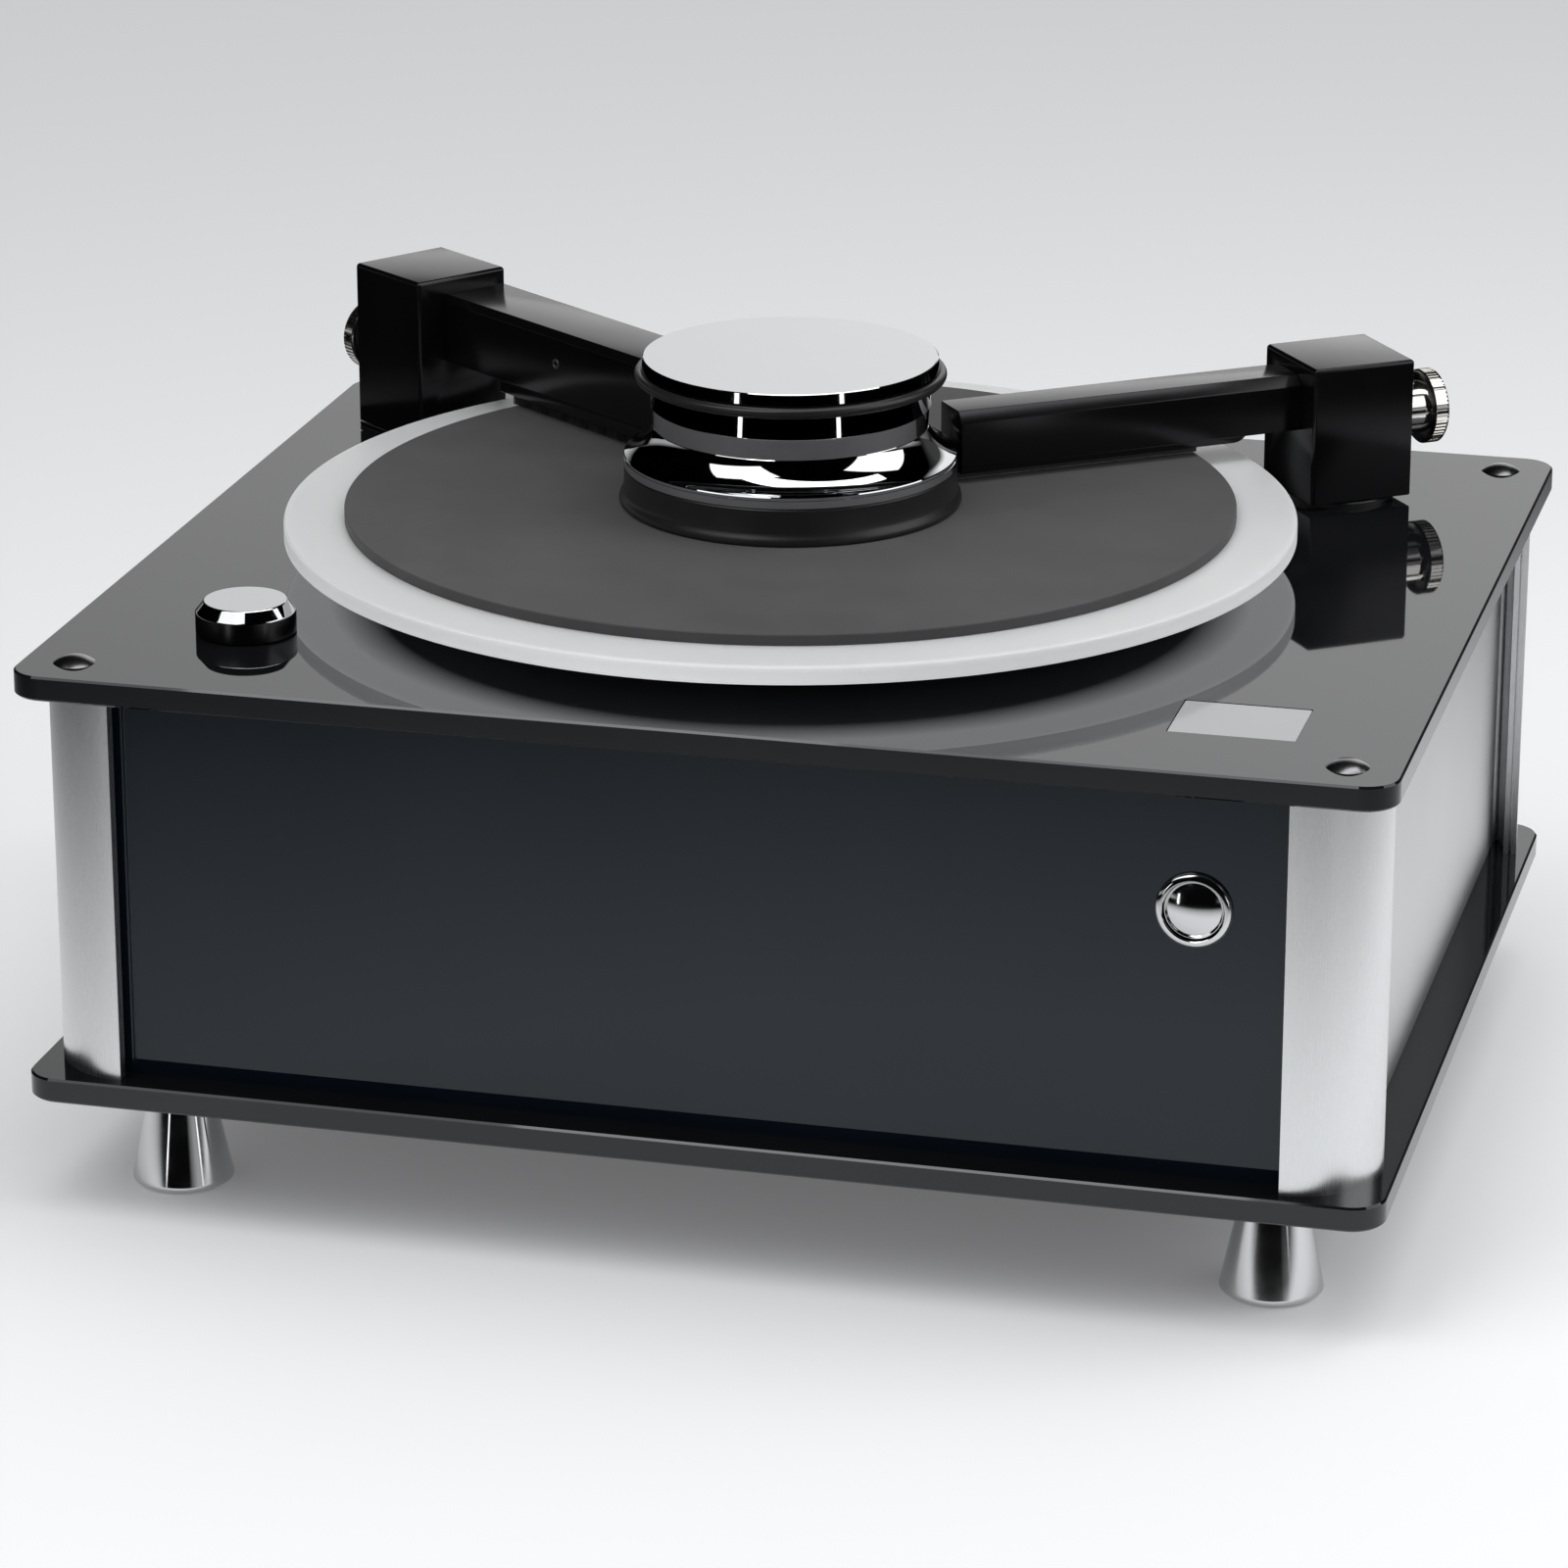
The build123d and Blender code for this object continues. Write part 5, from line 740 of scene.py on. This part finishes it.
class MACHINE_OT_clamp(bpy.types.Operator):
    """Turn the record clamp: weight, cap, ring and seal"""

    bl_idname = "machine.clamp"
    bl_label = "Record clamp"

    def execute(self, context):
        plated = context.scene.machine_plated.chrome
        chrome = polished("clamp_chrome", plated, 0.02, rings=True)
        brushed = polished("cap_chrome", tone(plated, 0.93), 0.03)
        rubber = plain_rubber("seal_rubber", (0.005, 0.005, 0.0055), 0.3)
        ring_rubber = plain_rubber("ring_rubber", (0.008, 0.008, 0.009), 0.26)
        underside = [(0, 36.2), (3.65, 36.2), (3.65, 21.95), (40.6, 21.95), (40.6, 29.95), (49.05, 29.95)]
        foot_band = [(49.3, 30.2), (49.3, 32.35), (49.0, 32.5), (49.0, 32.75), (49.3, 32.9), (49.3, 33.35)]
        flare = [(49.1, 33.65)] + arc((52.98, 45.57), 12.52, 250, 196, 28)
        waist = [(40.8, 42.3), (41.1, 48.3), (41.1, 48.45)]
        neck = [(41.45, 48.5), (41.6, 48.7), (40.95, 55.5), (40.75, 55.75)]
        seat = [(42.9, 55.8), (42.9, 59.0), (12.05, 59.0), (12.05, 51.0), (0, 51.0)]
        weight_outline = underside + foot_band + flare + waist + neck + seat
        weight = turn("clamp_weight_turned", raised(DECK, weight_outline), 192)
        plug = [(0, 51.4), (12.0, 51.4), (12.0, 59.05)]
        plate = [(43.5, 59.05), (43.95, 59.5), (43.6, 62.55), (43.35, 62.8), (0, 62.8)]
        cap = turn("clamp_cap_turned", raised(DECK, plug + plate), 192)
        ring = turn("clamp_ring", raised(DECK, arc((44.55, 57.4), 1.55, 0, 360, 20)), 160)
        lip = [(4.5, 18.92), (49.4, 18.92), (50.3, 19.05), (50.7, 19.4), (50.8, 20.0), (50.65, 20.8)]
        skirt = [(50.2, 21.5), (49.75, 22.2), (49.5, 23.0), (49.45, 24.2), (49.3, 25.4), (49.3, 29.5)]
        socket = [(49.05, 29.85), (48.5, 29.92), (40.68, 29.92), (40.68, 21.9), (4.5, 21.9), (4.5, 18.92)]
        seal = turn("clamp_seal_turned", raised(DECK, lip + skirt + socket), 192)
        for piece, finish, slot, node in (
            (weight, chrome, "chrome", "clamp_weight"),
            (cap, brushed, "chrome", "clamp_cap"),
            (ring, ring_rubber, "black_rubber", "clamp_o_ring"),
            (seal, rubber, "black_rubber", "clamp_seal"),
        ):
            stand(piece, (PLATTER_AXIS.x, PLATTER_AXIS.y, 0))
            dress(piece, finish, "clamp", slot, node, smooth=14 if piece is weight else 25)
        return {"FINISHED"}


# ---------------------------------------------------------------- arms
def thumbscrew(name, ridges):
    """A knurled thumbscrew along the upright axis, its head up and the tower's face at 0."""
    shank = [(0, -7.9), (3.0, -7.9), (3.0, 0.1)]
    neck = [(7.7, 0.1), (8.0, 0.4), (8.0, 10.3)]
    knurled = [(10.9, 10.5), (11.1, 10.6), (11.5, 11.0), (11.5, 15.0), (11.1, 15.4), (10.9, 15.5)]
    end_face = [(9.4, 15.5), (9.1, 15.25), (0, 15.25)]
    piece = turn(name, shank + neck + knurled + end_face, 2 * ridges)
    pick(piece)
    bpy.ops.object.mode_set(mode="EDIT")
    step = pi / ridges

    def is_furrow(face):
        """True for every other face round the head."""
        spot = face.calc_center_median() / MM
        if spot.xy.length < 11.3 or abs(face.normal.z) > 0.2:
            return False
        turned = Vector((1, 0)).angle_signed(spot.xy) / step
        return int(turned + 4 * ridges) % 2 == 0

    choose("FACE", is_furrow)
    bpy.ops.mesh.extrude_faces_move(TRANSFORM_OT_shrink_fatten={"value": -0.35 * MM})
    bpy.ops.object.mode_set(mode="OBJECT")
    return piece


def felt_lip(name, side):
    """One felt lip beside the slot, with softened and slightly uneven edges."""
    inner, outer = sorted((1.5 * side, 4.5 * side))
    low, high = foot_and_top("suction_lips")
    piece = block(name, (LIP_START, inner, low), (ARM_TIP, outer, high))
    choose("EDGE", lambda e: abs(edge_way(e).x) > 0.9)
    bpy.ops.mesh.subdivide(number_cuts=70)
    choose("EDGE", lambda e: abs(edge_way(e).x) < 0.5)
    bpy.ops.mesh.subdivide(number_cuts=3)

    def is_lower_edge(vertex):
        """True for the vertices along the two lower long edges."""
        y, z = vertex.co.y / MM, vertex.co.z / MM
        return z < low + 0.1 and min(abs(y - inner), abs(y - outer)) < 0.1

    choose("VERT", is_lower_edge)
    bpy.ops.transform.translate(value=(0, 0, 0.45 * MM))
    choose("VERT", lambda v: v.co.z < high * MM - 0.5 * MM)
    bpy.ops.transform.vertex_random(offset=0.07 * MM, uniform=0.4, seed=4 + side)
    bpy.ops.object.mode_set(mode="OBJECT")
    return piece


def bristle_block(name):
    """One block of nylon bristles, at the origin."""
    low, high = foot_and_top("brush_bristles")
    nothing_selected()
    deep = high - low + 0.25
    place = (-4.2 * MM, -3.3 * MM, (low + deep / 2) * MM)
    bpy.ops.mesh.primitive_cone_add(
        vertices=5, radius1=0.09 * MM, radius2=0.17 * MM, depth=deep * MM, location=place
    )
    piece = bpy.context.object
    piece.name = name
    bpy.ops.object.transform_apply(location=True, rotation=True, scale=True)
    for axis, count, pitch in ((0, 16, 0.56), (1, 12, 0.6)):
        bpy.ops.object.modifier_add(type="ARRAY")
        row = piece.modifiers[-1]
        row.count = count
        row.use_relative_offset = False
        row.use_constant_offset = True
        row.constant_offset_displace = [pitch * MM if i == axis else 0 for i in range(3)]
        bpy.ops.object.modifier_apply(modifier=row.name)
    bpy.ops.object.mode_set(mode="EDIT")
    choose("VERT", lambda v: v.co.z < (low + 0.1) * MM)
    bpy.ops.transform.vertex_random(offset=0.12 * MM, uniform=0.3, seed=11)
    choose("VERT", lambda v: v.co.z < low * MM)
    bpy.ops.transform.resize(value=(1, 1, 0), center_override=(0, 0, low * MM))
    bpy.ops.object.mode_set(mode="OBJECT")
    return piece


def tower_sole(name):
    """A low square collar that closes the gap under a tower, at the origin."""
    nothing_selected()
    bpy.ops.mesh.primitive_plane_add(size=33.4 * MM, location=(0, 0, 0.35 * MM))
    sole = bpy.context.object
    sole.name = name
    bpy.ops.object.mode_set(mode="EDIT")
    bpy.ops.mesh.select_all(action="SELECT")
    bpy.ops.mesh.inset(thickness=2.3 * MM, depth=0)
    bpy.ops.mesh.delete(type="FACE")
    bpy.ops.mesh.select_all(action="SELECT")
    bpy.ops.mesh.extrude_region_move(TRANSFORM_OT_translate={"value": (0, 0, 1.53 * MM)})
    bpy.ops.mesh.select_all(action="SELECT")
    bpy.ops.mesh.normals_make_consistent(inside=False)
    bpy.ops.object.mode_set(mode="OBJECT")
    soften(sole, 0.25, 2)
    return sole


class MACHINE_OT_arms(bpy.types.Operator):
    """Make the suction arm and the brush arm"""

    bl_idname = "machine.arms"
    bl_label = "Arms"

    def execute(self, context):
        settings = context.scene.machine_arms
        black = anodised_black("anodised_black", settings.black)
        nickel = polished("screw_nickel", context.scene.machine_plated.nickel, 0.08)
        edge = settings.edge / MM
        for node, body in (
            ("suction_tower", "suction_arm"),
            ("suction_bar", "suction_arm"),
            ("suction_nozzle", "suction_arm"),
            ("brush_tower", "brush_arm"),
            ("brush_bar", "brush_arm"),
            ("brush_holder", "brush_arm"),
        ):
            piece = from_node(node + "_rounded", node)
            soften(piece, edge, 3, 25)
            dress(piece, black, body, "black_anodised", node)

        sole = tower_sole("brush_tower_sole")
        stand(sole, (BRUSH_AXIS.x, BRUSH_AXIS.y, DECK), BRUSH_HEADING)
        dress(sole, black, "brush_arm", "black_anodised")

        first = thumbscrew("suction_thumbscrew_knurled", settings.ridges)
        second = again(first, "brush_thumbscrew_knurled")
        for screw, axis, heading, side in (
            (first, SUCTION_AXIS, SUCTION_HEADING, "suction"),
            (second, BRUSH_AXIS, BRUSH_HEADING, "brush"),
        ):
            stand(screw, arm_place(axis, heading, -TOWER_FACE, 0, SCREW_HEIGHT), heading, (0, -pi / 2))
            dress(screw, nickel, side + "_screw", "nickel", side + "_thumbscrew", smooth=25)

        lips = join("felt_lips", [felt_lip("felt_lip_left", 1), felt_lip("felt_lip_right", -1)])
        stand(lips, (SUCTION_AXIS.x, SUCTION_AXIS.y, 0), SUCTION_HEADING)
        dress(lips, felt("felt", (0.035, 0.035, 0.04)), "suction_arm", "felt", "suction_lips", smooth=60)

        tuft = bristle_block("bristles_1")
        tufts = [tuft]
        for i in range(1, BRISTLE_BLOCKS):
            tufts.append(again(tuft, f"bristles_{i + 1}", (BRISTLE_SPACING * i, 0, 0)))
        brush = join("nylon_bristles", tufts)
        stand(brush, arm_place(BRUSH_AXIS, BRUSH_HEADING, *FIRST_BRISTLES, -DECK), BRUSH_HEADING)
        nylon = moulded("nylon", (0.02, 0.02, 0.022), 0.45)
        dress(brush, nylon, "brush_arm", "nylon_bristle", "brush_bristles", smooth=60)

        barrel = [(0, -1.6), (1.7, -1.6), (1.7, -0.1), (1.45, 0.12)]
        socket = [(0.95, 0.12), (0.8, -0.05), (0.8, -0.8), (0, -0.8)]
        grub = turn("bar_set_screw", barrel + socket, 32)
        stand(grub, arm_place(BRUSH_AXIS, BRUSH_HEADING, *SET_SCREW), BRUSH_HEADING, (pi / 2, 0))
        dress(grub, turned_metal("grub_steel", (0.22, 0.22, 0.22), 0.35), "brush_arm", "steel")

        coat(turned_metal("pivot_steel", (0.6, 0.6, 0.61), 0.2), "suction_pivot", "brush_pivot")
        acetal = moulded("bush_acetal", (0.006, 0.006, 0.006), 0.35, 0.008)
        for name, axis, flange in (("suction_bush", SUCTION_AXIS, 17.5), ("brush_bush", BRUSH_AXIS, 14.0)):
            sleeve = [(8.04, -BUSH_DEPTH), (10.2, -BUSH_DEPTH), (10.5, 0.3 - BUSH_DEPTH), (10.5, 0)]
            collar = [(flange, 0), (flange, 1.2), (flange - 0.3, 1.55), (8.3, 1.6), (8.04, 1.4)]
            bush = turn(name, sleeve + collar + [(8.04, -BUSH_DEPTH)], 96)
            stand(bush, (axis.x, axis.y, DECK))
            dress(bush, acetal, "chassis", "black_plastic", "arm_bushes")
        coat(turned_metal("bush_bronze", (0.55, 0.38, 0.2), 0.3), "spindle_bushes")
        return {"FINISHED"}


# ---------------------------------------------------------------- controls
class MACHINE_OT_controls(bpy.types.Operator):
    """Make the control knob and the power switch"""

    bl_idname = "machine.controls"
    bl_label = "Controls"

    def execute(self, context):
        plated = context.scene.machine_plated.chrome
        chrome = polished("knob_chrome", tone(plated, 0.9), 0.03, above=DECK + 6.4)
        brushed = polished("switch_chrome", plated, 0.06)
        bore = [(0, 7.05), (3.05, 7.05), (3.05, 3.9), (9.5, 3.9), (9.5, 0.3)]
        side = [(14.25, 0.3), (14.5, 0.55), (14.5, 6.35), (14.4, 6.6)]
        chamfer = [(14.25, 6.78), (12.24, 9.28), (12.08, 9.48), (11.8, 9.65), (0, 9.65)]
        knob = turn("knob_turned", raised(DECK, bore + side + chamfer), 160)
        stand(knob, (KNOB_AXIS.x, KNOB_AXIS.y, 0))
        dress(knob, chrome, "knob", "chrome", "control_knob", smooth=25)

        well = [(0, -7), (8.65, -7), (8.65, 1.8)]
        lip = [(8.85, 2.0), (9.2, 1.98), (9.8, 1.82), (10.35, 1.48), (10.7, 1.0), (10.85, 0.4), (10.85, 0)]
        barrel = [(9.5, 0), (9.5, -20), (8.5, -20), (8.5, -32), (0, -32)]
        bezel = turn("switch_bezel", well + lip + barrel, 128)
        dome = arc((0, BUTTON_CROWN - BUTTON_CURVE), BUTTON_CURVE, 60.8, 90, 20)
        button = turn("switch_button", [(0, -4.2), (8.35, -4.2), (8.35, 0.5), (8.2, 0.7)] + dome, 128)
        for piece, body, node in ((bezel, "chassis", "power_switch"), (button, "button", "power_button")):
            stand(piece, (SWITCH_AXIS.x, -FRONT_FACE, SWITCH_AXIS.z), 0, (pi / 2, 0))
            dress(piece, brushed, body, "chrome", node, smooth=25)
        coat(moulded("switch_plastic", (0.015, 0.015, 0.016), 0.4), "selector_switch")
        coat(turned_metal("shaft_steel", (0.6, 0.6, 0.61), 0.2), "selector_shaft", "panel_nuts")
        return {"FINISHED"}


# ---------------------------------------------------------------- inner works
class MACHINE_OT_works(bpy.types.Operator):
    """Finish the drive, the fluid and air side and the electrical pieces"""

    bl_idname = "machine.works"
    bl_label = "Inner works"

    def execute(self, context):
        coat(turned_metal("spindle_steel", (0.62, 0.62, 0.63), 0.15), "spindle", "motor_pulley")
        coat(turned_metal("machined_aluminium", (0.72, 0.72, 0.73), 0.28), "bearing_housing", "driven_pulley")
        coat(satin_metal("bracket_zinc", (0.5, 0.52, 0.52), 0.4, (1, 1, 1)), "motor_bracket")
        coat(plain_rubber("belt_rubber", (0.01, 0.01, 0.01), 0.5), "drive_belt")
        coat(plain_rubber("hose_rubber", (0.012, 0.012, 0.012), 0.45), "suction_hose", "turbine_hose")
        coat(moulded("motor_paint", (0.09, 0.1, 0.11), 0.45), "drive_motor", "power_supply")
        black = moulded("black_plastic", (0.015, 0.015, 0.016), 0.4)
        coat(black, "suction_turbine", "fluid_pump", "mains_inlet", "drain_spigot")
        coat(clear_plastic("tank_plastic", (0.75, 0.77, 0.78), 0.35, 0.4), "waste_tank", "supply_tank")
        coat(clear_plastic("clear_hose", (0.8, 0.82, 0.82), 0.15, 0.7), "dosing_hose")
        coat(board_green("board_green", (0.01, 0.09, 0.035)), "control_board")
        return {"FINISHED"}


# ---------------------------------------------------------------- stage
def lamp(name, place, aim, size, power, tall=None):
    """A soft rectangular lamp, in metres and watts."""
    nothing_selected()
    bpy.ops.object.light_add(type="AREA", location=place)
    light = bpy.context.object
    light.name = name
    light.data.shape = "RECTANGLE"
    light.data.size = size
    light.data.size_y = tall or size
    light.data.energy = power
    light.rotation_euler = (Vector(aim) - Vector(place)).to_track_quat("-Z", "Y").to_euler()
    return light


class MACHINE_OT_stage(bpy.types.Operator):
    """Lay the floor, hang the lamps and place the camera"""

    bl_idname = "machine.stage"
    bl_label = "Stage"

    def execute(self, context):
        settings = context.scene.machine_stage
        scene = context.scene
        scene.view_settings.view_transform = "Standard"
        nothing_selected()
        bpy.ops.mesh.primitive_plane_add(size=60, location=(0, 0, 0))
        floor = bpy.context.object
        floor.name = "floor"
        paper = Finish("floor_paper", Roughness=0.9, Specular_IOR_Level=0.1, Emission_Strength=1.0)
        fibre = paper.grain(3, 3, 0.6)
        paper.feed("Base Color", paper.blend(fibre, tone(settings.floor, 0.995), settings.floor))
        straight, glossy = paper.seen_straight()
        # Painted light and shade: to reflections only, the floor is bright near the machine, centred a little
        # to its right, and fades to black farther out, standing in for the lamps' pool of light and a dark
        # studio.
        centre = (0.08, 0, 0)
        shifted = paper.node("ShaderNodeVectorMath", {"operation": "SUBTRACT"}, {0: paper.place, 1: centre})
        reach = paper.node("ShaderNodeVectorMath", {"operation": "LENGTH"}, {0: shifted}, out="Value")
        painted_floor_glow = paper.limit(reach, 0.36, 0.84, 0.97, 0.0)
        pale = 1 - glossy * (1 - painted_floor_glow)
        lift = paper.blend(pale, (0, 0, 0), (0.11, 0.11, 0.112))
        paper.feed("Emission Color", paper.blend(straight, (0, 0, 0), lift))
        dark = paper.node("ShaderNodeBsdfDiffuse", {}, {"Color": (0, 0, 0, 1)})
        lit = Level(paper, paper.shader.outputs[0])
        shown = paper.node("ShaderNodeMixShader", {}, {0: pale, 1: dark, 2: lit})
        paper.tree.links.new(shown.socket, paper.tree.nodes["Material Output"].inputs["Surface"])
        floor.data.materials.append(paper.material)

        world = bpy.data.worlds.new("studio")
        scene.world = world
        world.use_nodes = True
        studio = Sums(world.node_tree)
        straight, glossy = studio.seen_straight()
        way = studio.node("ShaderNodeTexCoord", out="Generated")
        x, y, z = studio.node("ShaderNodeSeparateXYZ", {}, {0: way}, out=("X", "Y", "Z"))
        sideways = studio.node("ShaderNodeMath", {"operation": "ABSOLUTE"}, {0: x})
        rear = studio.limit(y, 0.8, 0.88) * studio.limit(x, -0.5, -0.1, 0.66, 1.16)
        behind = rear * studio.limit(x, 0.12, 0.22, 1.0, 0.05)
        beside = studio.limit(sideways, 0.55, 0.8, 0.0, 0.45) * studio.limit(z, 0.06, 0.14, 1.0, 0.0)
        walls = studio.sum("MAXIMUM", behind, beside) * studio.limit(z, 0.5, 0.75, 1.0, 0.0)
        level = studio.limit(straight, 0, 1, 0.5, 1.0)
        background = world.node_tree.nodes["Background"]
        background.inputs["Color"].default_value = (1, 1, 1, 1)
        strength = level * (1 - glossy * (1 - walls))
        world.node_tree.links.new(strength.socket, background.inputs["Strength"])

        lamp("overhead", (0.2, -0.15, 1.5), (0.15, -0.1, 0.1), 1.9, 8.5, 0.5)
        lamp("key", (-0.47, -0.68, 1.06), (0, 0, 0.18), 0.9, 3.0, 0.65)
        lamp("right_box", (1.1, 0.08, 0.78), (0, 0, 0.15), 1.1, 4.6, 0.8)
        height = 0.16
        strips = [("left_strip", radians(-116.5), 0.14), ("right_strip", radians(-37.7), 0.1)]
        for name, heading, power in strips:
            strip = lamp(name, (cos(heading), sin(heading), height), (0, 0, height), 0.06, power, 0.3)
            strip.visible_camera = False

        tilt, swing = 0.3374, 0.2509
        bpy.ops.object.camera_add(location=(0.41851, -1.67957, 0.70090), rotation=(pi / 2 - tilt, 0, swing))
        camera = bpy.context.object
        camera.name = "camera"
        camera.data.sensor_width = 36
        camera.data.lens = settings.lens
        scene.camera = camera
        return {"FINISHED"}


class MACHINE_PT_sidebar(bpy.types.Panel):
    """Lists the machine's groups of pieces"""

    bl_idname = "MACHINE_PT_sidebar"
    bl_label = "Record cleaner"
    bl_space_type = "VIEW_3D"
    bl_region_type = "UI"
    bl_category = "Record cleaner"

    def draw(self, context):
        for group in GROUPS:
            box = self.layout.box()
            settings = getattr(context.scene, group)
            for name in settings.bl_rna.properties.keys():
                if name not in ("rna_type", "name"):
                    box.prop(settings, name)
        for operator in OPERATORS:
            self.layout.operator(operator.bl_idname)


OPERATORS = (
    MACHINE_OT_stage,
    MACHINE_OT_case,
    MACHINE_OT_screws,
    MACHINE_OT_feet,
    MACHINE_OT_platter,
    MACHINE_OT_clamp,
    MACHINE_OT_arms,
    MACHINE_OT_controls,
    MACHINE_OT_works,
)


def register():
    for group in GROUPS.values():
        bpy.utils.register_class(group)
    for name, group in GROUPS.items():
        setattr(bpy.types.Scene, name, bpy.props.PointerProperty(type=group))
    for cls in OPERATORS + (MACHINE_PT_sidebar,):
        bpy.utils.register_class(cls)


def unregister():
    for cls in reversed(OPERATORS + (MACHINE_PT_sidebar,)):
        bpy.utils.unregister_class(cls)
    for name, group in GROUPS.items():
        delattr(bpy.types.Scene, name)
        bpy.utils.unregister_class(group)


def main():
    register()
    bpy.ops.machine.stage()
    bpy.ops.machine.case()
    bpy.ops.machine.screws()
    bpy.ops.machine.feet()
    bpy.ops.machine.platter()
    bpy.ops.machine.clamp()
    bpy.ops.machine.arms()
    bpy.ops.machine.controls()
    bpy.ops.machine.works()
    nothing_selected()


if __name__ == "__main__":
    main()
